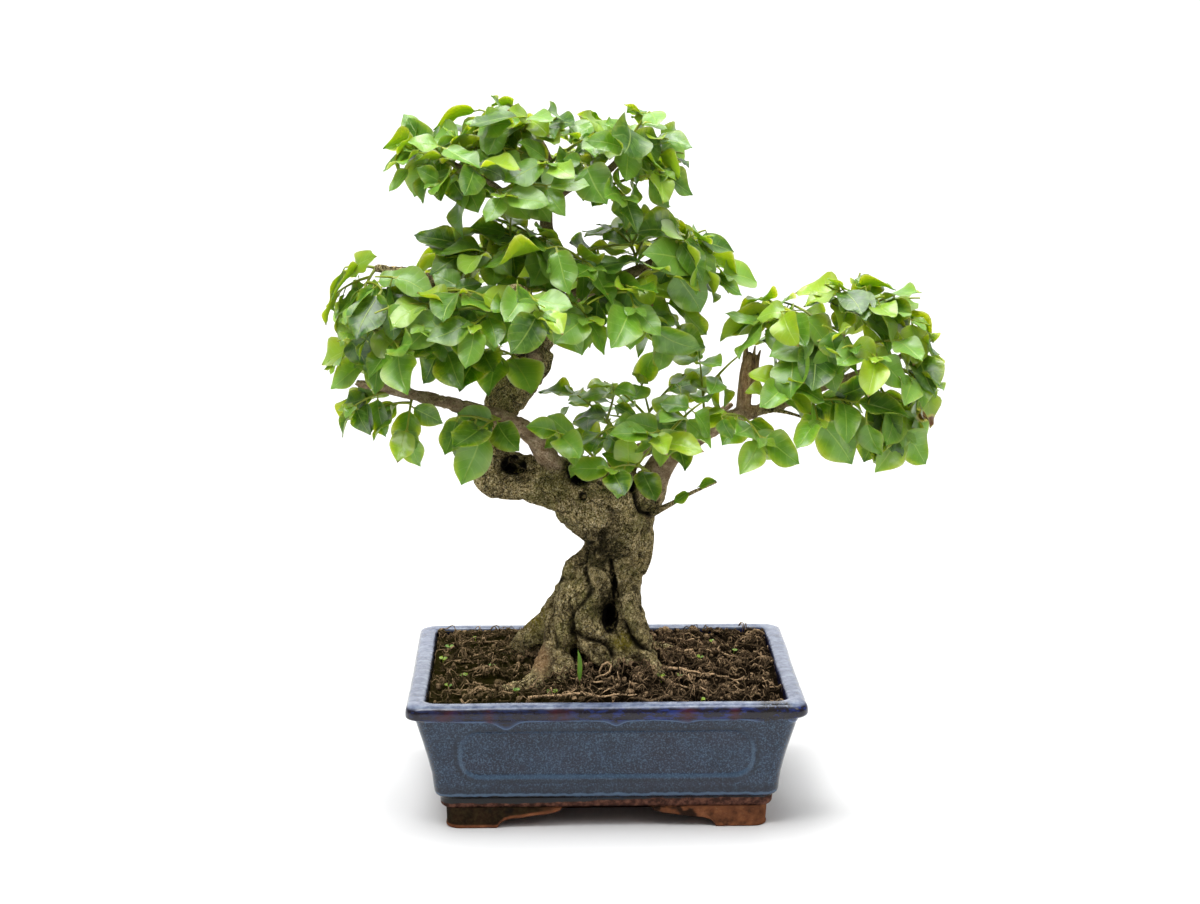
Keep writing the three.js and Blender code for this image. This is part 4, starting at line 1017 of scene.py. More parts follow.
# Every limb is a smooth line through points x, y, z with a radius
LIMBS = {
    "trunk": [
        (-6, 24, 56, 30), (-7, 23, 80, 32), (-7, 22, 98, 28), (-5, 21, 112, 26), (1, 21, 130, 22.5),
        (9, 20, 150, 20.5), (8.5, 20, 160, 22.5), (6, 20, 170, 26), (1.5, 20, 182, 30.5),
        (0, 20, 192, 29), (1, 20, 200, 21),
    ],
    "root_left": [
        (-4, 20, 147, 10), (-17, 18, 124, 12), (-25, 18, 110, 12), (-33, 20, 99, 11), (-45, 26, 88, 9),
        (-58, 34, 78, 6), (-74, 46, 70, 3),
    ],
    "root_front_left": [
        (-16, 8, 128, 10), (-24, 3, 107, 11), (-31, -4, 90, 8), (-38, -22, 83, 6.5), (-45, -44, 80, 5),
        (-62, -50, 77, 3.6), (-80, -42, 70, 2.4),
    ],
    "root_front_foot": [
        (-30, 4, 88, 7), (-23, -12, 84, 5), (-27, -28, 79, 4), (-34, -38, 71, 2.6),
    ],
    "root_centre": [
        (-1, 6, 138, 11), (-11, 1, 118, 12), (-10, -3, 102, 11), (0, -5, 89, 10), (13, -3, 81, 8),
        (26, -4, 72, 4),
    ],
    "root_right": [
        (10, 16, 130, 12), (13, 15, 112, 11), (18, 20, 94, 9), (29, 26, 83, 7), (45, 32, 76, 5),
        (60, 40, 69, 3),
    ],
    "root_right_front": [
        (13, 6, 121, 9), (17, 1, 103, 8), (25, -2, 88, 6), (34, -10, 79, 4.5), (44, -16, 71, 2.8),
    ],
    "root_back": [
        (4, 30, 128, 11), (8, 38, 104, 10), (6, 50, 86, 8), (14, 64, 77, 5), (26, 74, 69, 3),
    ],
    "root_back_left": [
        (-8, 28, 122, 10), (-18, 38, 100, 9), (-30, 48, 84, 7), (-46, 58, 76, 4.5), (-58, 64, 69, 3),
    ],
    "left_arm": [
        (-2, 20, 181, 22), (-26, 19, 190, 17.4), (-48, 18, 196, 14.4), (-66, 17, 200, 15.3),
        (-72, 17, 213, 12.5), (-69, 17, 228, 10.5), (-62, 17, 243, 11), (-54, 18, 256, 12),
        (-46, 18, 268, 12.5), (-40, 18, 279, 10),
    ],
    "leader": [
        (-45, 18, 262, 8), (-36, 19, 286, 6.5), (-29, 22, 308, 5.5), (-29, 22, 332, 4.8),
        (-34, 20, 353, 4.2), (-35, 20, 369, 4),
    ],
    "apex_left": [
        (-34, 20, 364, 3.4), (-51, 18, 367, 3), (-69, 14, 381, 2.4), (-92, 10, 394, 1.7),
    ],
    "apex_right": [
        (-35, 20, 366, 3.6), (-21, 18, 378, 3), (-4, 15, 384, 2.6), (9, 12, 394, 2.2),
        (19, 10, 411, 1.6),
    ],
    "apex_middle": [
        (-35, 20, 366, 3.4), (-31, 26, 385, 2.8), (-35, 30, 400, 2.2), (-43, 32, 413, 1.6),
    ],
    "low_left": [
        (-24, 16, 192, 8), (-36, 8, 214, 6.5), (-45, 3, 227, 6), (-61, -2, 237, 5), (-77, -6, 243, 4.3),
        (-94, -8, 248, 3.9), (-113, -10, 253, 3.5), (-132, -11, 258, 3), (-152, -12, 262, 2.2),
    ],
    "left_riser": [
        (-130, -11, 256, 2.6), (-136, -10, 270, 2.4), (-133, -8, 285, 2.2), (-130, -6, 301, 1.7),
    ],
    "dome_left": [
        (-40, 18, 277, 6.5), (-54, 12, 296, 5.5), (-75, 4, 311, 4.6), (-100, -3, 322, 3.8),
        (-121, -6, 329, 3), (-140, -6, 332, 2),
    ],
    "dome_front": [
        (-36, 19, 286, 5), (-40, 2, 301, 4.4), (-45, -16, 313, 3.6), (-50, -40, 322, 2.8),
        (-55, -58, 326, 2),
    ],
    "dome_back": [
        (-34, 20, 292, 5), (-50, 36, 301, 4.4), (-70, 50, 307, 3.6), (-93, 60, 313, 2.8),
        (-114, 64, 309, 2),
    ],
    "cut_riser": [
        (-55, 6, 303, 4.6), (-56, 2, 322, 3.8), (-56, 0, 344, 3),
    ],
    "right_shoulder": [
        (-29, 22, 303, 5), (-13, 18, 313, 4.4), (11, 12, 323, 3.8), (28, 8, 331, 3.2), (41, 5, 340, 2.2),
    ],
    "right_arm": [
        (18, 20, 170, 12), (28, 19, 183, 10.5), (33, 17, 197, 9), (40, 15, 209, 8), (51, 13, 218, 6.8),
        (65, 11, 227, 5.8), (85, 8, 237, 4.5), (110, 6, 244, 3.6), (132, 4, 253, 3), (152, 2, 262, 2.4),
    ],
    "right_back": [
        (10, 26, 189, 7), (19, 30, 207, 5), (34, 36, 213, 4.2), (56, 44, 219, 3.4), (84, 52, 237, 2.2),
    ],
    "right_riser": [
        (142, 3, 257, 2.6), (145, 4, 275, 2.3), (150, 6, 294, 1.9), (154, 8, 309, 1.5),
    ],
    "right_tip": [
        (141, 3, 257, 2.6), (158, 1, 264, 2.4), (174, 0, 269, 2), (188, -2, 278, 1.5),
    ],
    "dead_stub": [
        (87, 8, 236, 4.2), (88, 8, 249, 4.2), (90, 8, 264, 4.6), (92, 8, 276, 3.8),
    ],
    "dead_twig": [
        (90, 8, 239, 1.8), (107, 2, 241, 1.3), (123, -4, 238, 0.9),
    ],
    "low_twig": [
        (31, 10, 175, 2.6), (40, 2, 181, 1.7), (54, -4, 190, 1.2), (70, -8, 198, 0.8),
    ],
}

# Limbs that melt into one body of wood, the old ones first, and the young ones with smooth tan bark
THICK_LIMBS = (
    "trunk", "root_left", "root_front_left", "root_front_foot", "root_centre", "root_right",
    "root_right_front", "root_back", "root_back_left", "left_arm", "right_arm", "right_back", "low_left",
    "leader", "dome_left", "dome_front", "dome_back", "cut_riser", "dead_stub",
)
YOUNG_LIMBS = (
    "right_arm", "low_left", "right_back", "right_riser", "right_tip", "left_riser", "dead_stub", "leader",
    "apex_left", "apex_right", "apex_middle", "right_shoulder",
)

# The trunk's core, slimmer than the whole at its foot so that the roots stand out from it
CORE = (
    (-4, 26, 56, 22), (-4, 27, 80, 21), (-4, 26, 98, 18.5), (-3, 24, 112, 18), (1, 22, 130, 20),
    *LIMBS["trunk"][5:],
)

# Places worn, hollowed or sawn out of the wood: middle and half sizes of each rounded cut
HOLLOWS = (
    ((4, -2, 110), (5.2, 18, 8.5)), ((7, -6, 128), (2.0, 14, 12)), ((-15, -1, 204), (8.5, 15, 8.5)),
    ((-55, 1, 207), (9, 11, 7)), ((90, 8, 280), (2.4, 2, 7)),
)
# Creases between roots and round the arm as seen from the front: half width, depth, and x and z along each
CREASES = (
    (1.7, 3.4, ((-11.6, 156), (-11.3, 142), (-9.9, 136), (-8, 129), (-12.4, 123), (-16.8, 118), (-19, 114),
                (-18.8, 109), (-19.9, 103), (-17, 97))),
    (1.3, 4.0, ((4.3, 146), (5.6, 136), (6.1, 131), (8.7, 124), (9.6, 118))),
    (1.8, 4.5, ((12.5, 108), (14.5, 103), (18.3, 98), (23.6, 92.5), (31, 90))),
    (2.2, 3.4, ((-17, 103), (-10.8, 100), (-2, 97.5), (4.1, 93), (6, 88))),
    (1.6, 3.0, ((-25.5, 132), (-28.1, 127), (-31.3, 119), (-31.6, 110), (-30, 102), (-29, 94))),
    (2.0, 4.4, ((18.3, 196), (21.4, 185), (24.1, 178), (27.6, 174), (33, 171))),
    (1.2, 1.6, ((-2, 147), (3, 149), (9, 148), (15, 150), (20, 147))),
    (1.0, 1.2, ((8, 141), (13, 143), (19, 140), (24, 142))),
    (1.0, 1.1, ((-6, 133), (-1, 128), (1, 122), (-2, 117))),
    (0.9, 1.1, ((14, 134), (17, 128), (15, 121))),
    (1.3, 1.8, ((-60, 197), (-50, 199), (-40, 196), (-30, 199))),
    (1.2, 1.6, ((-58, 206), (-46, 203), (-36, 207), (-26, 203))),
)
# Rounded lobes that stand out from the trunk as seen from the front, given in the same way
LOBES = (
    (5.5, 4.2, ((-17.6, 141), (-21.1, 130), (-24.7, 120), (-24.7, 109), (-23.9, 98))),
    (5.5, 4.6, ((-3.7, 136), (-7.2, 126), (-10.7, 117), (-11.6, 108), (-7, 102))),
    (5.0, 4.2, ((15.8, 128), (15.8, 117), (19.4, 108), (24.7, 97))),
    (4.5, 4.2, ((5, 101), (10, 98), (19, 90))),
    (2.0, 1.6, ((-28, 131), (-26, 129.5), (-24, 129))),
)
# The ringed knot: its x and z, the ring's radius, its thickness and how far it stands out
KNOT = (-12.2, 189.1, 3.6, 1.3)
KNOT_HEIGHT = 1.9
# Relief drawn from the front ends here, behind the trunk's middle
FRONT_LIMIT = 34
FRONT_FADE = 8
CREASE_SHADE = 0.21
DARKEST_CREASE = 0.85
DEAD_SHARE = 0.85
LUMP_HEIGHT = 1.5
# Places on the bark with their middle and half sizes: mossy, worn, bare, dead and dark
MOSS = (((-41, 26, 106), (12, 16, 15)), ((12, -6, 96), (10, 10, 7)))
DEAD_ROOT = (((-38, -20, 88), (9, 26, 15)),)
BARE_WOOD = (((-42, 4, 268), (6, 10, 12)), ((-33, 0, 258), (6, 11, 10)))
DEAD_WOOD = (((92, 6, 262), (10, 12, 26)), ((-40, -22, 88), (6, 22, 13)))
SHADED = (
    ((-1, 2, 157), (18, 14, 18)), ((-55, 0, 209), (14, 14, 11)), ((-15, 2, 206), (13, 16, 12)),
    ((-46, 4, 280), (16, 12, 9)), ((0, -2, 118), (10, 12, 14)), ((86, 6, 234), (12, 12, 8)),
)
# Splinters left where the dead stub broke: points with a radius, like the limbs
SPLINTERS = (
    ((89, 8, 258, 2.4), (88.6, 8, 271, 1.9), (88.8, 7, 279, 1.3), (90.6, 7, 287, 0.4)),
    ((92, 7, 258, 2.2), (92.8, 6, 270, 1.6), (94.3, 6, 281, 0.5)),
    ((93.5, 8, 256, 2.2), (95, 8, 267, 1.9), (96.2, 8, 273, 1.3), (97.8, 8, 278, 0.4)),
)

# How a limb's tube is made: its sides, the step along it, how fluted it is and its first seed
THICK_SIDES = (14, 72)
THICK_STEP = 1.5
THICK_SEED = 50
WIDE_LIMB = 7
WIDE_FLUTES = 0.1
NARROW_FLUTES = 0.04
THIN_TUBE = (12, 1.6, 0.05)
THIN_SEED = 90
SPLINTER_TUBE = (10, 1.2, 0.12)
SPLINTER_SEED = 120
FRONTWARDS = (0.1, -1, 0.2)
# Bites out of the wood: the ball's rings and points round, how ragged they are
BITE_BALL = (22, 32)
BITE_RAGGED = 0.45
# The trunk, the roots and the left arm, where the bark is roughest;
# and the hollows whose insides are painted as shade
ROUGH_LIMBS = THICK_LIMBS[:10]
CAVES = HOLLOWS[:4]


class WoodSettings(bpy.types.PropertyGroup):
    grain: length_setting("Remesh", "Step of the body of wood", 0.0011)
    bark_depth: length_setting("Bark depth", "Of its ridges", 0.0016)
    bark: colour_setting("Bark", "Olive brown of old bark", 150, 134, 84)
    bark_dark: colour_setting("Crevice", "In the folds", 13, 10, 5)
    young: colour_setting("Young bark", "Smooth tan of young limbs", 178, 154, 124)


def limb_tube(points, sides, step, flute, seed):
    """A limb: rings along its smooth line, their radius swelled by sines round it and by drawn-out noise."""
    rough = catmull_rom(points, 200)
    length = np.linalg.norm(np.diff(rough[:, :3], axis=0), axis=1).sum()
    line = walk_evenly(rough, max(int(length / step), 4))
    centre, radius = line[:, :3], line[:, 3]
    travelled = np.linspace(0, length, len(line))[:, None]
    angle = round_a_circle(sides)[None]
    drift = travelled / 26 + seed
    swell = np.sin(3 * angle + drift) + 0.7 * np.sin(5 * angle - 1.3 * drift + 1)
    around = np.broadcast_arrays(2.2 * np.cos(angle), 2.2 * np.sin(angle), travelled / 24)
    around = np.stack(around, axis=-1)
    reach = radius[:, None] * (1 + flute * (0.55 * swell + 1.1 * noise(around, 0.8, seed)))
    ring = rings_round(unit(np.gradient(centre, axis=0)), FRONTWARDS, sides)
    places = centre[:, None] + reach[..., None] * ring
    return places.reshape(-1, 3), [grid_faces(len(line), sides), end_caps(len(line), sides)]


def mesh_places(mesh):
    """The mesh's points, in millimetres round the pot."""
    places = np.zeros(len(mesh.vertices) * 3, np.float32)
    mesh.vertices.foreach_get("co", places)
    return to_pot(places.reshape(-1, 3))


def mesh_normals(mesh):
    normals = np.zeros(len(mesh.vertices) * 3, np.float32)
    mesh.vertices.foreach_get("normal", normals)
    return normals.reshape(-1, 3).astype(float)


def smoothed(mesh, rounds):
    """The mesh's points, each drawn halfway to the middle of its neighbours once a round."""
    places = mesh_places(mesh)
    count = len(places)
    edges = np.zeros(len(mesh.edges) * 2, np.int32)
    mesh.edges.foreach_get("vertices", edges)
    one, other = edges.reshape(-1, 2).T
    neighbours = np.bincount(one, minlength=count) + np.bincount(other, minlength=count)

    def reached(column):
        return np.bincount(one, column[other], count) + np.bincount(other, column[one], count)

    for _ in range(rounds):
        total = np.stack([reached(column) for column in places.T], axis=1)
        places = places / 2 + total / np.maximum(neighbours, 1)[:, None] / 2
    return places


def distance_to_limbs(points, names):
    """The least distance from each point to the limbs named, less the limb's radius there."""
    least = np.full(len(points), FAR_AWAY)
    for name in names:
        for station in walk_evenly(catmull_rom(LIMBS[name], 120), 60):
            distance = np.linalg.norm(points - station[:3], axis=1) - station[3]
            least = np.minimum(least, distance)
    return least


def from_line(points, line):
    """The least distance from each point to a line of x and z, as seen from the front."""
    spots = np.array([(x, 0, z, 0) for x, z in line], float)
    least = np.full(len(points), FAR_AWAY)
    for x, _, z, _ in walk_evenly(catmull_rom(spots, 60), 40):
        least = np.minimum(least, np.hypot(points[:, 0] - x, points[:, 2] - z))
    return least


def front_relief(points, normals):
    """How far the front of the trunk stands out or in, and how much painted shade it takes.

    Each crease or lobe is a bell of the distance from its line; the knot is a ring with a dimple inside.
    A crease wanders from its line and changes its width by noise.
    """
    in_front = smoothstep(FRONT_LIMIT, FRONT_LIMIT - FRONT_FADE, points[:, 1])
    facing = smoothstep(0.15, -0.35, normals[:, 1]) * in_front
    wander = 0.54 * rough_noise(points, 4, 2, 77)
    broken = 1.1 + 0.4 * noise(points, 9, 78)
    relief = np.zeros(len(points))
    shade = np.zeros(len(points))
    for width, depth, line in CREASES:
        crease = bell(from_line(points, line) + wander, width * broken)
        relief -= depth * crease
        shade = np.maximum(shade, min(DARKEST_CREASE, CREASE_SHADE * depth) * crease)
    for width, height, line in LOBES:
        relief += height * bell(from_line(points, line), width)
    x, z, ring, thick = KNOT
    away = np.hypot(points[:, 0] - x, points[:, 2] - z)
    relief += KNOT_HEIGHT * (bell(away - ring, thick) - 1.6 * bell(away, ring / 2))
    shade = np.maximum(shade, 0.8 * bell(away - ring * 0.55, thick / 1.6))
    return relief * facing, shade * facing


def how_far_inside(points, middle, half):
    """The distance from the middle of a rounded place, where 1 is its surface."""
    return np.linalg.norm((points - np.array(middle)) / np.array(half), axis=1)


def spotted(points, spots):
    """How well inside any of the rounded places each point lies, from 0 to 1."""
    most = np.zeros(len(points))
    for middle, half in spots:
        most = np.maximum(most, smoothstep(1.3, 0.4, how_far_inside(points, middle, half)))
    return most


def wood_values(points, hollow_shade, crest_highlight):
    """How young, shaded, mossy or dead the bark is at each point, and its painted shade and highlight."""
    old_names = [name for name in LIMBS if name not in YOUNG_LIMBS]
    gap = distance_to_limbs(points, old_names) - distance_to_limbs(points, YOUNG_LIMBS)
    young = smoothstep(-1, 5, gap) * smoothstep(176, 200, points[:, 2])
    young = np.maximum(young, np.maximum(0.35 * spotted(points, DEAD_ROOT), spotted(points, BARE_WOOD)))
    return {
        "young": young, "hollow_shade": hollow_shade, "crest_highlight": crest_highlight, "dead": DEAD_SHARE * spotted(points, DEAD_WOOD),
        "moss": spotted(points, MOSS), "shaded": spotted(points, SHADED),
    }


def wrinkled_bark(finish, wood, fine, mottle, fine_lines, creases):
    """Olive bark, mottled dark and pale, greened in places, pale on its crests, with dark crooked lines."""
    old = finish.ramp(fine, (0.32, paint(30, 26, 13)), (0.44, tuple(wood.bark)),
                      (0.53, paint(226, 202, 144)), (0.64, paint(255, 242, 198)))
    plates = finish.noise(8, 4, 0.65)
    old = finish.mix(finish.band(plates, 0.5, 0.3, 0, 0.75), old, paint(46, 40, 22))
    old = finish.mix(finish.band(plates, 0.54, 0.7, 0, 0.6), old, paint(226, 202, 150))
    old = finish.mix(finish.band(mottle, 0.48, 0.36, 0, 0.6), old, paint(28, 24, 12))
    old = finish.mix(finish.band(mottle, 0.54, 0.68, 0, 0.45), old, paint(216, 198, 148))
    green = finish.band(finish.noise(20, 3, 0.6), 0.48, 0.64, 0, 0.4)
    old = finish.mix(green, old, paint(126, 128, 58))
    # Crests painted paler as highlight
    paler = finish.band(fine, 0.4, 0.55, 0.3, 0.8)
    old = finish.cover(old, paint(255, 232, 176), finish.value("crest_highlight"), paler)
    old = finish.cover(old, tuple(wood.bark_dark), fine_lines, 0.75)
    old = finish.cover(old, tuple(wood.bark_dark), creases, 0.8)
    patchy = finish.band(finish.noise(5, 4, 0.7), 0.36, 0.52, 0.45, 1.0)
    return finish.cover(old, paint(20, 17, 9), finish.value("shaded"), patchy, 0.9)


def old_bark(wood):
    """Wrinkled olive bark; smooth tan young bark, dry wood, moss, and painted shade in hollows and folds."""
    finish = Finish("old_bark")
    young = finish.value("young")
    hollow_shade = finish.value("hollow_shade")
    fine = finish.noise(1.8, 4, 0.68, swirl=1.8)
    mottle = finish.noise(3.4, 5, 0.7, where=finish.moved((1, 1, 0.45)), swirl=1.2)
    fine_lines = finish.around(finish.noise(3.4, 4, 0.6, swirl=1.5), 0.5, 0.045, 0.0)
    creases = finish.around(finish.noise(15, 4, 0.6, swirl=0.8), 0.5, 0.022, 0.0)
    old = wrinkled_bark(finish, wood, fine, mottle, fine_lines, creases)
    smooth = finish.ramp(finish.noise(5, 5, 0.65, where=finish.moved((0.5, 1, 1))),
                         (0.3, paint(118, 94, 68)), (0.5, tuple(wood.young)), (0.72, paint(214, 192, 160)))
    smooth = finish.mix(finish.band(fine, 0.5, 0.34, 0, 0.75), smooth, paint(84, 66, 44))
    colour = finish.mix(young, old, smooth)
    grained = finish.noise(2.4, 4, 0.7, where=finish.moved((1, 1, 0.12)))
    dry = finish.ramp(grained, (0.32, paint(74, 52, 32)), (0.47, paint(176, 136, 96)),
                      (0.64, paint(226, 192, 146)))
    colour = finish.mix(finish.value("dead"), colour, dry)
    fur = finish.band(finish.noise(2.2, 4, 0.7), 0.4, 0.6)
    moss = finish.mix(fine, paint(88, 84, 14), paint(184, 166, 62))
    colour = finish.cover(colour, moss, finish.value("moss"), fur)
    # Painted shade in the hollows, creases, knot and caves
    colour = finish.mix(finish.band(hollow_shade, 0.12, 0.72, 0, 0.95), colour, paint(12, 9, 4))
    colour = finish.mix(finish.band(hollow_shade, 0.7, 1.0), colour, paint(4, 3, 2))
    lines = finish.maths("MAXIMUM", fine_lines, creases)
    folds = finish.maths("MULTIPLY_ADD", mottle, 1.4, finish.times(fine, 0.7))
    height = finish.times(finish.maths("SUBTRACT", folds, lines), finish.band(young, 0.1, 0.9, 1.0, 0.45))
    relief = finish.bump(height, 1.6)
    return finish.done(base_color=colour, roughness=0.9, normal=relief, specular_ior_level=0.05)


def melted_wood(wood, bark):
    """The tubes of all thick limbs melted into one body, with its hollows bitten out."""
    shapes = []
    for index, name in enumerate(THICK_LIMBS):
        line = CORE if name == "trunk" else LIMBS[name]
        widest = max(point[3] for point in line)
        sides = int(np.clip(widest * 4, *THICK_SIDES))
        flute = WIDE_FLUTES if widest > WIDE_LIMB else NARROW_FLUTES
        shapes.append(limb_tube(line, sides, THICK_STEP, flute, THICK_SEED + index))
    piece = make_piece("trunk_wood", gather(shapes), bark, ["trunk"])
    apply_modifier(piece, "REMESH", mode="VOXEL", voxel_size=wood.grain)
    for middle, half in HOLLOWS:
        rounded, faces = ball(*BITE_BALL)
        rounded = rounded * (1 + BITE_RAGGED * noise(rounded + np.array(middle), 0.5, 61))[:, None]
        cut_away(piece, (rounded * np.array(half) + np.array(middle), faces))
    return piece


def thick_wood(wood, bark):
    """The trunk, roots and main branches, smoothed, then moved outwards by ridges, lumps and carving.

    A hollow is where the broadly smoothed surface lies outside the finely smoothed one, and a crest where
    it lies inside. Hollows are painted darker as shade and crests paler as highlight.
    """
    piece = melted_wood(wood, bark)
    mesh = piece.data
    places = smoothed(mesh, 3)
    normals = mesh_normals(mesh)
    hollow = ((smoothed(mesh, 24) - places) * normals).sum(-1)
    girth = smoothstep(2, 12, -distance_to_limbs(places, ROUGH_LIMBS) + 6)
    drawn = places * np.array([1, 1, 0.45])
    ridges = 2 * np.minimum(np.abs(rough_noise(drawn, 7, 3, 71)) * 1.8, 1) - 1
    depth = wood.bark_depth * MM * (0.35 + 0.65 * girth)
    carved, shade = front_relief(places, normals)
    lumps = LUMP_HEIGHT * girth * rough_noise(places, 11, 3, 73)
    places = places + normals * (depth * ridges + carved + lumps)[:, None]
    set_places(mesh, places)
    # Painted shade in hollows, ridge troughs, creases, the knot's dimple and the caves
    hollow_shade = smoothstep(0.3, 2.0, hollow) + 0.2 * smoothstep(-0.4, -1, ridges)
    hollow_shade = np.maximum(hollow_shade, shade)
    for middle, half in CAVES:
        hollow_shade = np.maximum(hollow_shade, 0.9 * smoothstep(1.25, 0.85, how_far_inside(places, middle, half)))
    # Painted highlight on the crests
    crest_highlight = smoothstep(0.1, 1.3, -hollow)
    set_values(mesh, wood_values(places, np.clip(hollow_shade, 0, 1), crest_highlight))
    mesh.shade_smooth()
    mesh.update()


def thin_wood(bark):
    """The thin branches and splinters, each a tube whose foot lies inside the limb that it grows from."""
    shapes = []
    for index, name in enumerate(LIMBS):
        if name not in THICK_LIMBS:
            shapes.append(limb_tube(LIMBS[name], *THIN_TUBE, THIN_SEED + index))
    for index, line in enumerate(SPLINTERS):
        shapes.append(limb_tube(line, *SPLINTER_TUBE, SPLINTER_SEED + index))
    points, groups = gather(shapes)
    points = points + uneven(points, 0.16, 3.5, 72)[:, None]
    none = np.zeros(len(points))
    make_piece("thin_branches", (points, groups), bark, ["trunk"], wood_values(points, none, none))


class BONSAI_OT_wood(bpy.types.Operator):
    """Add the trunk with its surface roots, branches, hollows and bark"""

    bl_idname = "bonsai.wood"
    bl_label = "Add Trunk and Branches"

    def execute(self, context):
        wood = context.scene.bonsai_wood
        bark = old_bark(wood)
        thick_wood(wood, bark)
        thin_wood(bark)
        return {"FINISHED"}


# The foliage

# Pads of foliage: the middle that the leaves face away from, the size of the leaves and how far they hang
PADS = {
    "top": ((-40, 20, 372), 0.95, 0.0),
    "dome": ((-70, 10, 280), 1.05, 0.3),
    "shoulder": ((10, 14, 300), 1.0, 0.1),
    "low_left": ((-105, 4, 262), 0.9, 0.25),
    "near_trunk": ((-60, 16, 250), 1.15, 0.25),
    "front": ((10, 24, 200), 0.85, 0.05),
    "inner": ((84, 18, 224), 0.95, 0.2),
    "end": ((160, 8, 262), 1.05, 0.3),
}

# Every leafy twig: its pad, where it leaves the wood, where it ends, and its pairs of leaves
SPRAYS = [
    ("top", (-90, 10, 393), (-112, -8, 402), 3), ("top", (-81, 12, 388), (-98, -22, 384), 3),
    ("top", (-69, 14, 381), (-88, 6, 408), 3), ("top", (-62, 16, 376), (-60, -36, 378), 3),
    ("top", (-36, 30, 401), (-64, 4, 416), 3), ("top", (-38, 31, 405), (-40, 8, 417), 3),
    ("top", (-31, 26, 385), (-34, -26, 396), 3), ("top", (-66, 15, 379), (-84, 48, 394), 2),
    ("top", (19, 10, 409), (3, -8, 409), 3), ("top", (14, 11, 401), (34, -12, 390), 3),
    ("top", (18, 10, 406), (34, 14, 402), 2), ("top", (-4, 15, 384), (12, -24, 376), 3),
    ("top", (-33, 28, 391), (-14, 60, 396), 3), ("dome", (-138, -6, 332), (-150, -20, 308), 3),
    ("dome", (-131, -7, 297), (-163, -8, 274), 3), ("dome", (-134, -8, 289), (-122, -52, 288), 3),
    ("dome", (-100, -3, 322), (-108, -54, 302), 4), ("dome", (-88, 0, 317), (-98, -36, 286), 3),
    ("dome", (-45, -14, 311), (-78, -62, 304), 4), ("dome", (-50, -40, 322), (-38, -82, 314), 3),
    ("dome", (-56, 1, 334), (-82, -12, 338), 3), ("dome", (-30, 22, 341), (-56, -8, 346), 3),
    ("dome", (-29, 22, 332), (-6, -30, 334), 3), ("dome", (-29, 22, 309), (-10, -36, 304), 3),
    ("dome", (-78, 54, 310), (-88, 66, 328), 2), ("dome", (-96, 60, 313), (-126, 54, 304), 3),
    ("dome", (-29, 22, 320), (-8, 66, 322), 2), ("near_trunk", (-46, 18, 266), (-74, -26, 284), 3),
    ("shoulder", (38, 6, 337), (58, -6, 348), 3), ("shoulder", (34, 7, 334), (74, 4, 324), 3),
    ("shoulder", (22, 9, 328), (16, 16, 349), 3), ("shoulder", (12, 12, 323), (18, -36, 310), 3),
    ("shoulder", (2, 15, 319), (40, -8, 290), 3), ("low_left", (-128, -11, 256), (-152, -20, 249), 3),
    ("low_left", (-117, -10, 254), (-120, -24, 234), 2),
    ("near_trunk", (-61, -2, 237), (-74, -24, 236), 2), ("front", (4, 18, 196), (-28, -34, 234), 3),
    ("front", (19, 30, 206), (-18, 6, 252), 3), ("front", (34, 17, 196), (4, -36, 212), 3),
    ("front", (34, 36, 213), (24, 16, 256), 2), ("front", (49, 13, 216), (28, -38, 234), 3),
    ("inner", (64, 11, 227), (60, 6, 272), 3), ("inner", (84, 8, 237), (96, -22, 228), 3),
    ("inner", (104, 6, 243), (112, -28, 262), 3), ("end", (149, 6, 289), (98, 4, 298), 3),
    ("end", (147, 5, 280), (114, -16, 282), 3), ("end", (153, 8, 303), (146, -10, 318), 3),
    ("end", (153, 8, 296), (176, 26, 304), 2), ("end", (152, 7, 299), (190, -8, 298), 3),
    ("end", (128, 4, 251), (130, -30, 240), 2), ("end", (147, 5, 278), (164, -40, 280), 3),
    ("end", (174, 0, 269), (199, -8, 258), 3), ("end", (164, 1, 265), (184, -20, 230), 3),
]

# How a twig may be bent: its middle lifted and moved sideways, as shares of its length
TWIG_BENDS = (
    (0.16, 0), (0.05, 0.12), (0.05, -0.12), (0.28, 0.08), (0.28, -0.08), (-0.1, 0), (0.1, 0.3), (0.1, -0.3),
)
# How a leaf may be turned until it is clear: sideways, dipped, rolled round its twig, its share of length
LEAF_TURNS = (
    (0, 0, 0, 1), (22, 0.3, 10, 1), (-20, -0.2, -15, 0.95), (40, 0.5, 30, 0.9), (-38, 0.3, -35, 0.9),
    (10, 0.9, 50, 0.85), (-10, -0.6, -55, 0.85), (60, 0.2, 80, 0.8), (0, 1.3, 0, 0.8), (30, -0.8, 110, 0.7),
)
# How many of these turns are tried for the leaves that the solids lack
ADDED_TURNS = 6
# Half width of a leaf along its length: a stalk, then a full oval drawn out to a point
LEAF_PROFILE = (
    (0, 0.05), (0.1, 0.045), (0.13, 0.14), (0.17, 0.42), (0.22, 0.66), (0.3, 0.87), (0.4, 0.98), (0.5, 1.0),
    (0.6, 0.96), (0.7, 0.86), (0.79, 0.69), (0.87, 0.46), (0.93, 0.24), (0.97, 0.1), (1, 0.02),
)
LEAF_ROWS = (0, 0.11, 0.145, 0.18, 0.23, 0.3, 0.38, 0.47, 0.56, 0.65, 0.73, 0.8, 0.86, 0.91, 0.955, 1.0)
LEAF_COLUMNS = (-1, -0.5, 0, 0.5, 1)
# Shares along and across a leaf where its distance to others is measured
SAMPLE_ROWS = (0.25, 0.42, 0.6, 0.78, 0.97)
SAMPLE_COLUMNS = (-0.85, 0, 0.85)
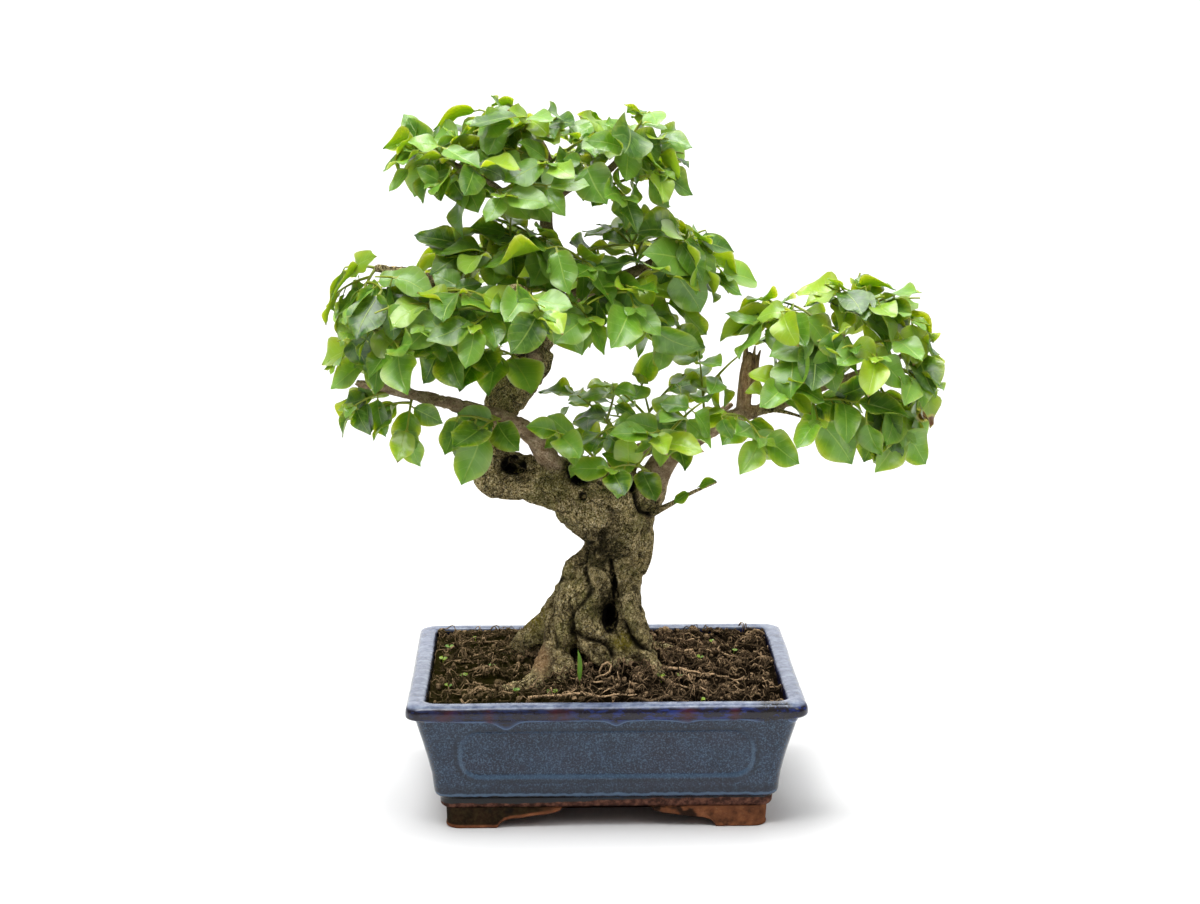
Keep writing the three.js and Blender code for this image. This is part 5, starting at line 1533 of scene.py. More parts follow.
# Rounded spaces that each pad's leaves fill: middle and half sizes
PAD_ROOM = {
    "top": (((-62, 6, 394), (66, 56, 40)), ((6, 4, 394), (42, 48, 36))),
    "dome": (((-95, 6, 302), (74, 72, 52)), ((-45, 4, 320), (48, 72, 44))),
    "shoulder": (((27, 8, 318), (54, 48, 48)),),
    "low_left": (((-134, -8, 236), (36, 30, 20)),),
    "near_trunk": (((-81, -6, 234), (21, 30, 27)),),
    "front": (((20, 0, 236), (60, 46, 29)),),
    "inner": (((90, 0, 250), (36, 40, 36)),),
    "end": (((156, 2, 262), (50, 50, 62)), ((108, 0, 292), (32, 36, 26))),
}
# The burnt mark on the leaves at the right: its middle, half sizes and how ragged it is
BURN = ((200, -14, 237), (4.8, 60, 3.0))
BURN_RAGGED = 0.7
# How many side twigs the twigs of a pad carry, where it isn't three
FEWER_SIDE_TWIGS = {"top": 2, "front": 2}
# Side twigs off each leafy twig: the share of the way along it, the side, and the share of its length
SIDE_TWIGS = ((0.3, 1, 0.85), (0.45, -1, 0.8), (0.65, 1, 0.65))
SIDE_TWIG_LENGTHS = (20, 40)
THREE_PAIRS_FROM = 24
SIDE_ROW = 100
# Limbs that end in leaves of a pad
LEAFY_ENDS = {
    "apex_left": "top", "apex_right": "top", "apex_middle": "top", "low_left": "low_left",
    "left_riser": "dome", "dome_left": "dome", "dome_front": "dome", "dome_back": "dome",
    "right_shoulder": "shoulder", "right_back": "inner", "right_riser": "end", "right_tip": "end",
    "cut_riser": "dome",
}
END_TWIG = 18
END_ROOM = 1.02
# Young leaves at the end of a twig: the number of each for its chance, and its side
BUDS = ((20, 1), (21, -1))
# Single leaves that stand out: pad, place of the base, place of the tip, half width and tone
LONE_LEAVES = (
    ("low_left", (-143, -12, 276), (-168, -18, 262), 10.5, 0.8),
    ("top", (-117, 0, 393), (-130, -6, 379), 4.5, 0.7),
    ("end", (98, 0, 295), (76, -4, 303), 5, 0.6),
    ("shoulder", (62, -2, 327), (86, -8, 317), 6, 0.35),
    ("inner", (54, -4, 191), (43, -8, 186), 4.2, 0.3),
    ("inner", (58, -5, 194), (69, -9, 200), 4, 0.45),
)
# Seedlings in the soil: x, y and leaf length
SEEDLINGS = (
    (-53, -66, 3.4), (-33, -62, 3.6), (35, -34, 2.8), (46, -31, 3), (57, -82, 2.6), (-88, -24, 3),
    (61, 2, 2.6), (-98, 40, 3), (-82, 62, 2.4), (84, 24, 2.2), (-70, -10, 2.2), (-96, -52, 2.6),
    (-101, 10, 3.2), (72, 48, 2.4),
)
# The blade of grass: its foot, its tip, half width, tone and droop
GRASS = ((-15.5, -46, 79), (-17, -45, 101), 1.5, 0.5, 0.08)
# Places seen from the front that the added leaves leave free: x from, x to, z from, z to
KEPT_CLEAR = ((80, 101, 238, 290), (98, 126, 232, 246), (-26, -2, 190, 214), (16, 62, 160, 216))
CLEAR_DEPTH = 12
LEAF_GAP = 2.3
WOOD_GAP = 1.5
ROOM_FOR_TIP = 1.2
NEIGHBOUR_REACH = 42
SOLID_THICKNESS = 0.7
SHARP_MARGIN = 75
MATCH_WITHIN = 0.45
TWIG_STATIONS = 9
TWIG_SIDES = 6
# What the twigs' points say to the leaves' finish: their tone and their place on a leaf, its stalk
TWIG_VALUE = 0.5
TWIG_UV = (0.05, 0.5)


class LeafSettings(bpy.types.PropertyGroup):
    length: length_setting("Leaf length", "Of a middling leaf", 0.028)
    width: FloatProperty(name="Leaf width", description="Half width as a share of length", default=0.34)
    thickness: length_setting("Thickness", "Of a blade", 0.0003)
    droop: FloatProperty(name="Droop", description="Of the tip, as a share of length", default=0.16)
    fold: FloatProperty(name="Fold", description="Of the halves along the midrib", default=0.2)
    upper: colour_setting("Upper side", "Of a grown leaf", 92, 138, 34)
    under: colour_setting("Underside", "Of a grown leaf", 134, 162, 18)


def draw(row, slot, use):
    """A repeatable number from 0 to 1: the broken part of a large sine of row, slot and use."""
    return broken_part(np.sin((row * 127.1 + slot * 17.7 + use * 3.1) + 4.17) * SINE_GAIN)


def twig_curve(start, end, bends):
    """A curve from start to end, pulled towards a middle point lifted and moved sideways."""
    start, end = np.array(start, float), np.array(end, float)
    span = end - start
    length = np.linalg.norm(span)
    sideways = unit(np.cross(span, (0, 0, 1)))
    middle = (start + end) / 2 + np.array([0, 0, bends[0] * length]) + sideways * bends[1] * length

    def at(share):
        share = np.asarray(share, float)[..., None]
        return (1 - share) ** 2 * start + 2 * share * (1 - share) * middle + share**2 * end

    return at


def leaf_plan(pad, pairs, row, slot, turned, curve):
    """Where the leaf of a twig's slot grows, its directions, length, half width and wave.

    The pairs are spread over the outer part of the twig, and every second one is turned further round it.
    A leaf spreads from its twig, hangs by its pad's share and faces out of the pad.
    """
    heart, size, hang = PADS[pad]
    turn, dip, roll, share = LEAF_TURNS[turned]
    pair, side = slot // 2, 1 if slot % 2 == 0 else -1
    step = pair / (pairs - 1) if pairs > 1 else 1
    place = min(0.97, 0.38 + 0.57 * step + 0.07 * (draw(row, slot, 1) - 0.5))
    base = curve(place)
    along = unit(curve(min(1, place + 1e-4)) - curve(place - 1e-4))
    outward = unit(base - np.array(heart))
    face = np.array([0, 0, 0.7]) + outward * 0.8 + along * 0.25
    face[0] += 0.6 * (draw(row, slot, 2) - 0.5)
    face[1] += 0.6 * (draw(row, slot, 3) - 0.5) - 0.15
    face = unit(face)
    beside = unit(np.cross(along, face))
    above = np.cross(beside, along)
    twist = np.radians((pair % 2) * 55 + 50 * (draw(row, slot - slot % 2, 9) - 0.5) + roll)
    spread = np.radians((48 if pair == pairs - 1 else 60) + 22 * (draw(row, slot, 4) - 0.5) + turn)
    direction = along * np.cos(spread) + beside * side * np.sin(spread) * np.cos(twist)
    direction = direction + above * side * np.sin(spread) * np.sin(twist)
    direction = unit(direction - np.array([0, 0, hang + dip + 0.35 * draw(row, slot, 5)]))
    direction[2] = min(direction[2], 0.3)
    direction = unit(direction)
    face = unit(face - direction * (face @ direction))
    leaves = bpy.context.scene.bonsai_leaf
    length = leaves.length * MM * size * share * (0.78 + 0.44 * draw(row, slot, 6))
    return {
        "base": base + direction * 0.3, "along": direction, "across": np.cross(direction, face),
        "face": face, "length": length, "half": length * leaves.width * (0.88 + 0.24 * draw(row, slot, 7)),
        "wave": 0.08 + 0.16 * draw(row, slot, 8), "tone": draw(row, slot, 10), "droop": leaves.droop,
    }


def leaf_tips(plan):
    """The upper and lower corner at a solid leaf's tip."""
    droop = bpy.context.scene.bonsai_leaf.droop
    tip = plan["base"] + plan["along"] * plan["length"] - plan["face"] * droop * plan["length"]
    return np.stack([tip + plan["face"] * SOLID_THICKNESS / 2, tip - plan["face"] * SOLID_THICKNESS / 2])


def grown_spray(row, node):
    """The twig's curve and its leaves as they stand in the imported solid.

    Each way to bend the twig and turn its leaves is tried, and the ways whose tips meet the solid are kept.
    """
    corners = to_pot([vertex.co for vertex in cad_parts[node].data.vertices])
    pad, start, end, pairs = SPRAYS[row]
    best = (-1, None, None)
    for bends in TWIG_BENDS:
        curve = twig_curve(start, end, bends)
        found = []
        for slot in range(pairs * 2):
            plans = [leaf_plan(pad, pairs, row, slot, turned, curve) for turned in range(len(LEAF_TURNS))]
            tips = np.stack([leaf_tips(plan) for plan in plans])
            gaps = np.linalg.norm(tips[:, :, None] - corners[None, None], axis=-1).min(-1).max(-1)
            nearest = int(np.argmin(gaps))
            if gaps[nearest] < MATCH_WITHIN:
                found.append(plans[nearest])
        if len(found) > best[0]:
            best = (len(found), curve, found)
    return best[1], best[2]


def leaf_samples(plan):
    """Points spread over a leaf, for telling how near it comes to others."""
    u = np.array(SAMPLE_ROWS)[:, None]
    v = np.array(SAMPLE_COLUMNS)[None]
    half = plan["half"] * np.interp(u, *np.array(LEAF_PROFILE).T)
    lift = 0.2 * np.abs(v) * half - plan["droop"] * plan["length"] * u**2
    spot = plan["base"] + plan["along"] * (u * plan["length"] + 0 * v)[..., None]
    spot = spot + plan["across"] * (v * half)[..., None] + plan["face"] * lift[..., None]
    return spot.reshape(-1, 3)


def in_room(pad, plan, scale=1):
    """Whether a leaf's middle and tip lie in one of the rounded spaces that the pad's leaves fill."""
    centre = plan["base"] + plan["along"] * plan["length"] / 2
    samples = leaf_samples(plan)
    x, y, z = samples.T
    for x0, x1, z0, z1 in KEPT_CLEAR:
        if np.any((x > x0) & (x < x1) & (z > z0) & (z < z1) & (y < CLEAR_DEPTH)):
            return False
    tip = samples[-1 - len(SAMPLE_COLUMNS) // 2]
    for middle, half in PAD_ROOM[pad]:
        centre_far, tip_far = how_far_inside(np.stack([centre, tip]), middle, half)
        if centre_far < scale and tip_far < ROOM_FOR_TIP * scale:
            return True
    return False


def varied(plan, row, slot):
    """The plan with its leaf made larger or smaller, rolled round its own length and drooped by chance."""
    roll = np.radians(90 * (draw(row, slot, 14) - 0.5))
    across, face = plan["across"], plan["face"]
    plan["across"] = across * np.cos(roll) + face * np.sin(roll)
    plan["face"] = face * np.cos(roll) - across * np.sin(roll)
    grown = 0.62 + 0.68 * draw(row, slot, 13)
    plan["length"] *= grown
    plan["half"] *= grown * (0.88 + 0.3 * draw(row, slot, 15))
    plan["droop"] = 0.05 + 0.36 * draw(row, slot, 16)
    return plan


class Crowd:
    """The leaves already in place, with their sample points, and the lines of the wood."""

    def __init__(self):
        self.middles = np.zeros((0, 3))
        self.samples = np.zeros((0, len(SAMPLE_ROWS) * len(SAMPLE_COLUMNS), 3))
        lines = [walk_evenly(catmull_rom(points, 100), 40) for points in LIMBS.values()]
        self.wood, self.girth = np.split(np.concatenate(lines), [3], axis=1)

    def put(self, plans):
        samples = np.stack([leaf_samples(plan) for plan in plans])
        self.samples = np.concatenate([self.samples, samples])
        self.middles = np.concatenate([self.middles, samples.mean(1)])

    def takes(self, plan):
        """Whether the leaf, apart from its first points, is clear of the wood and of the leaves near it."""
        samples = leaf_samples(plan)
        blade = samples[len(SAMPLE_COLUMNS):]
        from_wood = np.linalg.norm(blade[:, None] - self.wood[None], axis=-1) - self.girth[:, 0]
        if from_wood.min() < WOOD_GAP:
            return False
        near = np.linalg.norm(self.middles - samples.mean(0), axis=1) < NEIGHBOUR_REACH
        gaps = np.linalg.norm(blade[:, None, None] - self.samples[near][None], axis=-1)
        return gaps.size == 0 or gaps.min() > LEAF_GAP


def fitting_leaves(pad, number, pairs, route, crowd, scale=1):
    """The leaves of a twig that find room, each turned until it does."""
    kept = []
    for slot in range(pairs * 2):
        for turned in range(ADDED_TURNS):
            plan = varied(leaf_plan(pad, pairs, number, slot, turned, route), number, slot)
            if in_room(pad, plan, scale) and crowd.takes(plan):
                kept.append(plan)
                crowd.put([plan])
                break
    return kept


def side_twigs(pad, row, curve, crowd):
    """Twigs that fork off a leafy twig to its sides, with the leaves that find room on them."""
    span = np.linalg.norm(curve(1.0) - curve(0.0))
    hang = PADS[pad][2]
    for index, (share, side, part) in enumerate(SIDE_TWIGS[:FEWER_SIDE_TWIGS.get(pad)]):
        number = SIDE_ROW * (index + 1) + row
        start = curve(share)
        along = unit(curve(share + 0.05) - start)
        sideways = unit(np.cross(along, (0, 0, 1)))
        rise = 0.35 - hang * 0.6 + 0.5 * (draw(number, 0, 11) - 0.5)
        heading = unit(along * 0.6 + sideways * side * 0.8 + np.array([0, 0, rise]))
        length = np.clip(span * part, *SIDE_TWIG_LENGTHS) * (0.85 + 0.3 * draw(number, 0, 12))
        route = twig_curve(start, start + heading * length, (0.12, 0.08 * side))
        kept = fitting_leaves(pad, number, 3 if length > THREE_PAIRS_FROM else 2, route, crowd)
        if len(kept) > 1:
            yield pad, route, kept


def end_twigs(crowd):
    """A leafy twig that carries on each limb's free end: its pad, its curve and its leaves."""
    for index, (name, pad) in enumerate(LEAFY_ENDS.items()):
        start, before = (np.array(LIMBS[name][place][:3], float) for place in (-1, -2))
        heading = unit(unit(start - before) + np.array([0, 0, -0.15]))
        route = twig_curve(start - heading, start + heading * END_TWIG, (0.1, 0.05))
        number = SIDE_ROW * 5 + index
        kept = fitting_leaves(pad, number, 3, route, crowd, END_ROOM)
        if len(kept) > 1:
            yield pad, route, kept


def pointed_leaf(base, tip, half, tone, droop=0.1, wave=0.14):
    """A leaf from its base to its tip, with its upper side turned up and to the front."""
    base, tip = np.array(base, float), np.array(tip, float)
    along = unit(tip - base)
    face = np.array([0, -0.6, 0.8])
    face = unit(face - along * (face @ along))
    return {
        "base": base, "along": along, "across": np.cross(along, face), "face": face, "tone": tone,
        "length": np.linalg.norm(tip - base), "half": half, "wave": wave, "droop": droop,
    }


def seedling_plans(soil):
    """Two or three rounded leaves on a short stalk for each seedling, and the blade of grass."""
    plans, stalks = [], []
    for index, (x, y, size) in enumerate(SEEDLINGS):
        ground = soil_height(np.array(float(x)), np.array(float(y)), soil)
        foot = np.array([x, y, ground])
        head = foot + np.array([1.5 * draw(index, 1, 31) - 0.7, -0.5, 1.6 + 2 * draw(index, 2, 31)])
        stalks.append(twig_curve(foot - np.array([0, 0, 2]), head, (0, 0.1)))
        count = 2 + index % 2
        for leaf in range(count):
            turn = 2 * np.pi * (leaf / count + draw(index, leaf, 32))
            reach = np.array([np.cos(turn), np.sin(turn), 0.35]) * size
            plans.append(pointed_leaf(head, head + reach, size * 0.42, 0.7 + 0.3 * draw(index, leaf, 33)))
    plans.append(pointed_leaf(*GRASS, wave=0.0))
    return plans, stalks


def bud_leaves(row, curve):
    """Two small young leaves at the end of a twig."""
    end = curve(0.97)
    along = unit(curve(1.0) - curve(0.9))
    beside = unit(np.cross(along, (0.1, -0.2, 1)))
    plans = []
    for slot, side in BUDS:
        direction = unit(along + side * 0.55 * beside + np.array([0, 0, 0.15]))
        face = np.cross(beside, direction)
        face = unit(face * np.sign(face[2] + 1e-6))
        length = 9 + 6 * draw(row, slot, 6)
        plans.append({
            "base": end, "along": direction, "across": np.cross(direction, face), "face": face,
            "length": length, "half": length * 0.36, "wave": 0.1, "tone": 0.6 + 0.4 * draw(row, slot, 10),
            "droop": 0.1,
        })
    return plans


def leaf_skins(leaves, stack):
    """The upper skin's points and the lower skin's inner ones, as (leaves, rows, columns, 3).

    A point at share u along and v across lies at base + u * length along the leaf, v * half width * profile
    across it, and is lifted by the fold, by the droop -u^2 and by waves that grow towards the edge.
    """
    u = np.array(LEAF_ROWS)[None, :, None]
    v = np.array(LEAF_COLUMNS, float)[None, None, :]
    profile = np.interp(u, *np.array(LEAF_PROFILE).T)
    length, wide, wave, tone, droop = (
        stack[label][:, None, None] for label in ("length", "half", "wave", "tone", "droop")
    )
    base, along, across, face = (
        stack[label][:, None, None] for label in ("base", "along", "across", "face")
    )
    half = wide * profile
    ripple = 0.1 * np.sin(10 * u + 40 * tone + 1.5 * v) * np.abs(v) ** 1.5 * (profile > 0.3)
    fold = leaves.fold * (0.3 + 1.7 * (tone * 7 % 1))
    lift = fold * np.abs(v) ** 1.4 * half - droop * length * u**2
    lift = lift + 1.5 * wave * np.sin(7 * u + 2 * v + 60 * tone) * v * half + ripple * wide
    sway = 0.07 * np.sin(3 * u + 50 * tone) * length * u
    thick = leaves.thickness * MM * (1 + 1.6 * (profile < 0.2)) / 2 * (1 - v**2)
    flat = base + along * (u * length)[..., None] + across * (v * half + sway)[..., None]
    upper = flat + face * (lift + thick)[..., None]
    lower = flat + face * (lift - thick)[..., None]
    return upper, lower[:, :, 1:-1]


def leaf_shapes(plans):
    """Leaves as two skins that share their edge, with their values and their places on a leaf as UV."""
    stack = {label: np.stack([plan[label] for plan in plans]) for label in plans[0]}
    upper, lower = leaf_skins(bpy.context.scene.bonsai_leaf, stack)
    count, high, wide = len(plans), len(LEAF_ROWS), len(LEAF_COLUMNS)
    on_top = high * wide
    each = on_top + high * (wide - 2)
    top = np.arange(on_top).reshape(high, wide)
    under = top.copy()
    under[:, 1:-1] = np.arange(on_top, each).reshape(high, wide - 2)

    def squares(index):
        corners = [index[:-1, :-1], index[1:, :-1], index[1:, 1:], index[:-1, 1:]]
        return np.stack(corners, -1).reshape(-1, 4)

    # Both skins are cut along the same corners, so that neither shows through the other
    faces = np.concatenate([np.roll(squares(top)[:, ::-1], 1, axis=1), squares(under)])
    foot = np.concatenate([top[0], under[0, -2:0:-1]])
    tip = np.concatenate([top[-1, ::-1], under[-1, 1:-1]])
    points = np.concatenate([upper.reshape(count, -1, 3), lower.reshape(count, -1, 3)], axis=1)
    along, across = np.meshgrid(LEAF_ROWS, (np.array(LEAF_COLUMNS) + 1) / 2, indexing="ij")
    uv = [np.concatenate([part.ravel(), part[:, 1:-1].ravel()]) for part in (along, across)]
    side = np.concatenate([np.zeros(on_top), np.ones(each - on_top)])
    values = {"tone": np.repeat(stack["tone"], each), "under": np.tile(side, count)}
    groups = [repeated(faces, each, count), repeated(np.stack([foot, tip]), each, count)]
    return (points.reshape(-1, 3), groups), values, np.tile(np.stack(uv, axis=1), (count, 1))


def twig_shapes(curves):
    """Leafy twigs as thin tubes that taper to their ends."""
    share = np.linspace(0, 0.97, TWIG_STATIONS)
    centres = np.stack([curve(share) for curve in curves])
    spans = np.array([np.linalg.norm(curve(1.0) - curve(0.0)) for curve in curves])
    radii = np.minimum(1, spans / 16)[:, None] * (1.05 - 0.55 * share)
    return tubes(centres, radii, TWIG_SIDES, (0.3, 0.2, 1))


def burnt(finish, colour):
    """The colour with a brown mark in a pale ring at one place."""
    half = np.array(BURN[1])
    stretched = finish.moved(tuple(1 / half), tuple(-to_frame(BURN[0]) * MM / half))
    away = finish.add("VectorMath", "Value", {0: stretched}, operation="LENGTH")
    away = finish.maths("MULTIPLY_ADD", finish.noise(3, 3, 0.6), BURN_RAGGED, away)
    colour = finish.mix(finish.band(away, 1.9, 1.45, 0, 0.85), colour, paint(196, 182, 92))
    return finish.mix(finish.band(away, 1.4, 1.15), colour, paint(108, 66, 30))


def green_leaf(leaves):
    """A glossy leaf with a pale midrib and faint side veins, yellower and duller below, some tips brown."""
    finish = Finish("green_leaf")
    on_leaf = finish.add("UVMap", "UV", uv_map="surface")
    along, crosswise = (finish.add("SeparateXYZ", name, {"Vector": on_leaf}) for name in ("X", "Y"))
    across = finish.maths("ABSOLUTE", finish.maths("SUBTRACT", crosswise, 0.5))
    tone = finish.value("tone")
    below = finish.value("under")
    mottle = finish.noise(6, 3, 0.55)
    top = finish.ramp(tone, (0, paint(36, 74, 8)), (0.3, paint(68, 112, 20)), (0.55, tuple(leaves.upper)),
                      (0.8, paint(112, 154, 60)), (1, paint(140, 170, 26)))
    top = finish.mix(finish.band(mottle, 0.4, 0.7, 0, 0.3), top, paint(128, 168, 66))
    # Paler, yellower underside: partly the leaf's own colour, partly painted light shining through it
    low = finish.ramp(tone, (0, paint(104, 136, 8)), (0.5, tuple(leaves.under)), (1, paint(164, 186, 34)))
    colour = finish.mix(below, top, low)
    rib = finish.band(across, 0.03, 0.008)
    slanted = finish.maths("MULTIPLY_ADD", across, -16.0, finish.times(along, 40.0))
    vein = finish.band(finish.maths("SINE", slanted), 0.88, 1.0)
    colour = finish.cover(colour, paint(168, 194, 110), vein, 0.1)
    colour = finish.cover(colour, paint(170, 192, 90), rib, 0.4)
    colour = finish.mix(finish.band(along, 0.16, 0.12), colour, paint(138, 150, 40))
    brown = finish.times(finish.band(along, 0.92, 1.0), finish.band(tone, 0.9, 0.94))
    colour = finish.mix(brown, colour, paint(110, 76, 34))
    colour = burnt(finish, colour)
    veins = finish.maths("MAXIMUM", finish.times(vein, 0.4), rib)
    relief = finish.bump(finish.maths("SUBTRACT", finish.times(mottle, 0.6), veins), 0.25, 0.5)
    return finish.done(
        base_color=colour, roughness=finish.mix(below, (0.32,) * 3, (0.6,) * 3), normal=relief,
        subsurface_weight=0.45, subsurface_radius=(0.8, 1.0, 0.15), subsurface_scale=0.0016,
        specular_ior_level=0.55,
    )


class BONSAI_OT_foliage(bpy.types.Operator):
    """Add the pads of foliage, each with its twigs and leaves"""

    bl_idname = "bonsai.foliage"
    bl_label = "Add Foliage"

    def execute(self, context):
        finish = green_leaf(context.scene.bonsai_leaf)
        curves, plans, nodes = ({pad: [] for pad in PADS} for _ in range(3))
        crowd = Crowd()
        for row, (pad, *_) in enumerate(SPRAYS):
            node = f"{pad}_spray_{len(nodes[pad]) + 1}"
            curve, grown = grown_spray(row, node)
            crowd.put(grown)
            curves[pad].append(curve)
            plans[pad] += grown + bud_leaves(row, curve)
            nodes[pad].append(node)
        mains = {pad: iter(tuple(curves[pad])) for pad in PADS}
        added = [side_twigs(pad, row, next(mains[pad]), crowd) for row, (pad, *_) in enumerate(SPRAYS)]
        for pad, route, kept in itertools.chain(*added, end_twigs(crowd)):
            curves[pad].append(route)
            plans[pad] += kept
        for pad, *leaf in LONE_LEAVES:
            plans[pad].append(pointed_leaf(*leaf))
        plans["soil"], curves["soil"] = seedling_plans(context.scene.bonsai_soil)
        nodes["soil"] = ["soil"]
        for pad in plans:
            blades, values, uv = leaf_shapes(plans[pad])
            twigs = twig_shapes(curves[pad])
            extra = len(twigs[0])
            for label, numbers in values.items():
                values[label] = np.concatenate([numbers, np.full(extra, TWIG_VALUE)])
            uv = np.concatenate([uv, np.tile(TWIG_UV, (extra, 1))])
            name = "soil_sprouts" if pad == "soil" else f"{pad}_foliage"
            make_piece(name, gather([blades, twigs]), finish, nodes[pad], values, uv, SHARP_MARGIN)
        return {"FINISHED"}


# The stage

# The sky's strength at its lowest as a share of the highest, and the heights between which it rises
SKY_LOW = 0.35
SKY_HEIGHTS = (-0.1, 0.9)
# The floor and backdrop, in metres
FLOOR_REACH = 7.0
BACKDROP_START = 1.1
BACKDROP_RADIUS = 0.9
BACKDROP_HEIGHT = 2.6
BACKDROP_COLUMNS = 9
# Soft lamps, in metres round the pot: place, aim, width and height, and share of the key light's power
LAMPS = {
    "key": ((-0.6, -0.8, 2.0), (0, 0, 0.2), (1.0, 1.0), 2.1),
    "fill": ((1.1, -1.3, 1.4), (0, 0, 0.2), (0.8, 0.8), 0.5),
    "top": ((0.1, 0.2, 2.0), (0, 0, 0.2), (1.4, 1.4), 1.9),
    "wall": ((0.0, 0.6, 2.4), (0, 2.0, 0.5), (2.0, 0.6), 2.5),
}
# The camera's place in millimetres, its turn to the right, tilt down and roll, and its sensor's width
CAMERA_PLACE = (-33.78, -1582.5, 515.6)
CAMERA_TURN = 0.02008
CAMERA_TILT = 0.18721
CAMERA_ROLL = -0.00208
SENSOR_WIDTH = 36


class StageSettings(bpy.types.PropertyGroup):
    floor: colour_setting("Floor", "Pale floor and backdrop", 222, 222, 222)
    sky: FloatProperty(name="Sky", description="Strength of the light from all round", default=0.5)
    key: FloatProperty(name="Key light", description="Of the large lamp", default=16.0, unit="POWER")
    focal: FloatProperty(name="Focal length", description="Of the camera, in millimetres", default=77.9)


def backdrop():
    """A floor that sweeps up into a wall: a straight run, a quarter circle and a straight rise."""
    bend = np.linspace(0, np.pi / 2, 24)
    run = np.linspace(-FLOOR_REACH, BACKDROP_START, 12)[:-1]
    rise = np.linspace(BACKDROP_RADIUS, BACKDROP_HEIGHT, 8)[1:]
    wall = np.full(len(rise), BACKDROP_START + BACKDROP_RADIUS)
    y = np.concatenate([run, BACKDROP_START + BACKDROP_RADIUS * np.sin(bend), wall])
    z = np.concatenate([0 * run, BACKDROP_RADIUS * (1 - np.cos(bend)), rise])
    x = np.linspace(-FLOOR_REACH, FLOOR_REACH, BACKDROP_COLUMNS)
    points = np.stack(np.broadcast_arrays(x, y[:, None], z[:, None]), axis=-1)
    return points.reshape(-1, 3), grid_faces(len(y), BACKDROP_COLUMNS, wrap=False)


def stand(name, data, directions, place):
    """A new object for a lamp or the camera, turned to its three directions, at a place in metres."""
    turned = np.eye(4)
    turned[:3, :3] = np.stack(directions, axis=1)
    turned[:3, 3] = place
    holder = bpy.data.objects.new(name, data)
    holder.matrix_world = Matrix(turned.tolist())
    bpy.context.scene.collection.objects.link(holder)
    return holder


def add_lamp(name, place, aim, size, power):
    """A soft lamp at a place, turned to face a point; both are in metres round the pot."""
    lamp = bpy.data.lights.new(name, "AREA")
    lamp.shape = "RECTANGLE"
    lamp.size, lamp.size_y = size
    lamp.energy = power
    back = unit(np.array(place, float) - np.array(aim, float))
    side = unit(np.cross((0, 0, 1), back))
    stand(name, lamp, (side, np.cross(back, side), back), np.array(place) + POT_CENTRE)


def add_camera(focal):
    """The camera: turned right, tilted down and rolled by its three angles."""
    turn, tilt, roll = CAMERA_TURN, CAMERA_TILT, CAMERA_ROLL
    forward = np.array([np.sin(turn) * np.cos(tilt), np.cos(turn) * np.cos(tilt), -np.sin(tilt)])
    right = np.array([np.cos(turn), -np.sin(turn), 0])
    up = np.cross(right, forward)
    rolled_right = right * np.cos(roll) + up * np.sin(roll)
    rolled_up = up * np.cos(roll) - right * np.sin(roll)
    lens = bpy.data.cameras.new("camera")
    lens.lens = focal
    lens.sensor_width = SENSOR_WIDTH
    lens.sensor_fit = "HORIZONTAL"
    directions = (rolled_right, rolled_up, -forward)
    bpy.context.scene.camera = stand("camera", lens, directions, to_frame(CAMERA_PLACE))


def add_sky(strength):
    """A white sky that grows brighter with height."""
    world = bpy.data.worlds.new("sky")
    world.use_nodes = True
    tree = world.node_tree
    sky = tree.nodes["Background"].inputs
    sky["Color"].default_value = (1, 1, 1, 1)
    place = tree.nodes.new("ShaderNodeTexCoord").outputs["Generated"]
    upward = tree.nodes.new("ShaderNodeSeparateXYZ")
    shade = tree.nodes.new("ShaderNodeMapRange")
    low, high = SKY_HEIGHTS
    ends = {"From Min": low, "From Max": high, "To Min": strength * SKY_LOW, "To Max": strength}
    for label, value in ends.items():
        shade.inputs[label].default_value = value
    tree.links.new(place, upward.inputs["Vector"])
    tree.links.new(upward.outputs["Z"], shade.inputs["Value"])
    tree.links.new(shade.outputs["Result"], sky["Strength"])
    bpy.context.scene.world = world


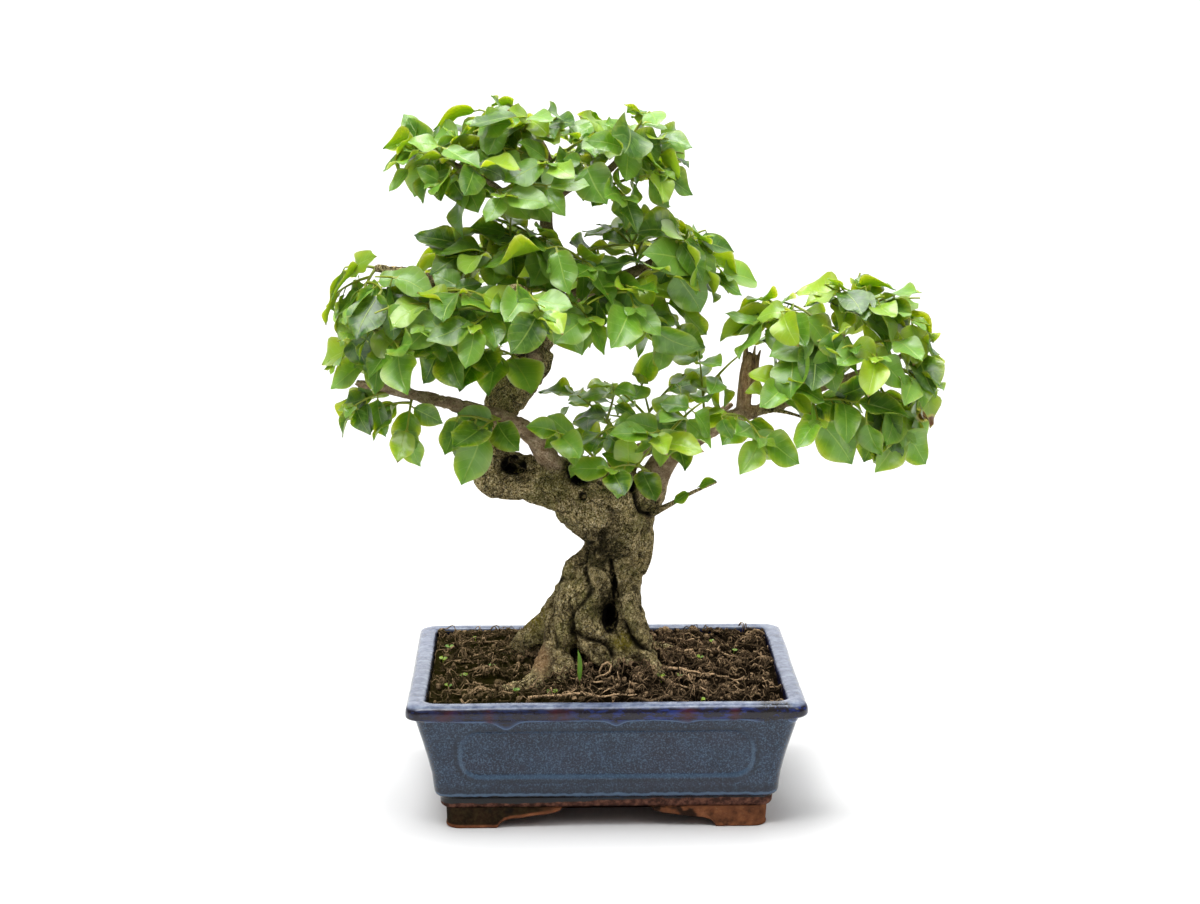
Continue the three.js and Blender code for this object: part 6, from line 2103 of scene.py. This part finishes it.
class BONSAI_OT_stage(bpy.types.Operator):
    """Add the pale floor, the soft lights and the camera"""

    bl_idname = "bonsai.stage"
    bl_label = "Add Stage"

    def execute(self, context):
        settings = context.scene.bonsai_stage
        paper = Finish("pale_paper")
        shaded = tuple(0.98 * part for part in settings.floor)
        tint = paper.mix(paper.noise(60, 2), tuple(settings.floor), shaded)
        points, faces = backdrop()
        mesh = bpy.data.meshes.new("floor")
        mesh.from_pydata((points + POT_CENTRE).tolist(), [], faces.tolist())
        mesh.shade_smooth()
        mesh.materials.append(paper.done(base_color=tint, roughness=0.9))
        floor = bpy.data.objects.new("floor", mesh)
        context.scene.collection.objects.link(floor)
        add_sky(settings.sky)
        for name, (place, aim, size, share) in LAMPS.items():
            add_lamp(name, place, aim, size, settings.key * share)
        add_camera(settings.focal)
        context.scene.view_settings.view_transform = "Standard"
        return {"FINISHED"}


class BONSAI_PT_sidebar(bpy.types.Panel):
    """The bonsai's tools in the 3D view's sidebar"""

    bl_label = "Potted Bonsai Tree"
    bl_idname = "BONSAI_PT_sidebar"
    bl_space_type = "VIEW_3D"
    bl_region_type = "UI"
    bl_category = "Bonsai"

    def draw(self, context):
        for operator in OPERATORS:
            self.layout.operator(operator.bl_idname)


SETTINGS = {
    "bonsai_pot": PotSettings, "bonsai_soil": SoilSettings, "bonsai_wood": WoodSettings,
    "bonsai_leaf": LeafSettings, "bonsai_stage": StageSettings,
}
OPERATORS = (
    BONSAI_OT_pot, BONSAI_OT_drain_meshes, BONSAI_OT_soil,
    BONSAI_OT_wood, BONSAI_OT_foliage, BONSAI_OT_stage,
)


def register():
    for kind in (*SETTINGS.values(), *OPERATORS, BONSAI_PT_sidebar):
        bpy.utils.register_class(kind)
    for label, kind in SETTINGS.items():
        setattr(bpy.types.Scene, label, PointerProperty(type=kind))


def unregister():
    for label in SETTINGS:
        delattr(bpy.types.Scene, label)
    for kind in (BONSAI_PT_sidebar, *reversed(OPERATORS), *reversed(SETTINGS.values())):
        bpy.utils.unregister_class(kind)


def main():
    register()
    for operator in OPERATORS:
        group, name = operator.bl_idname.split(".")
        getattr(getattr(bpy.ops, group), name)()


if __name__ == "__main__":
    main()
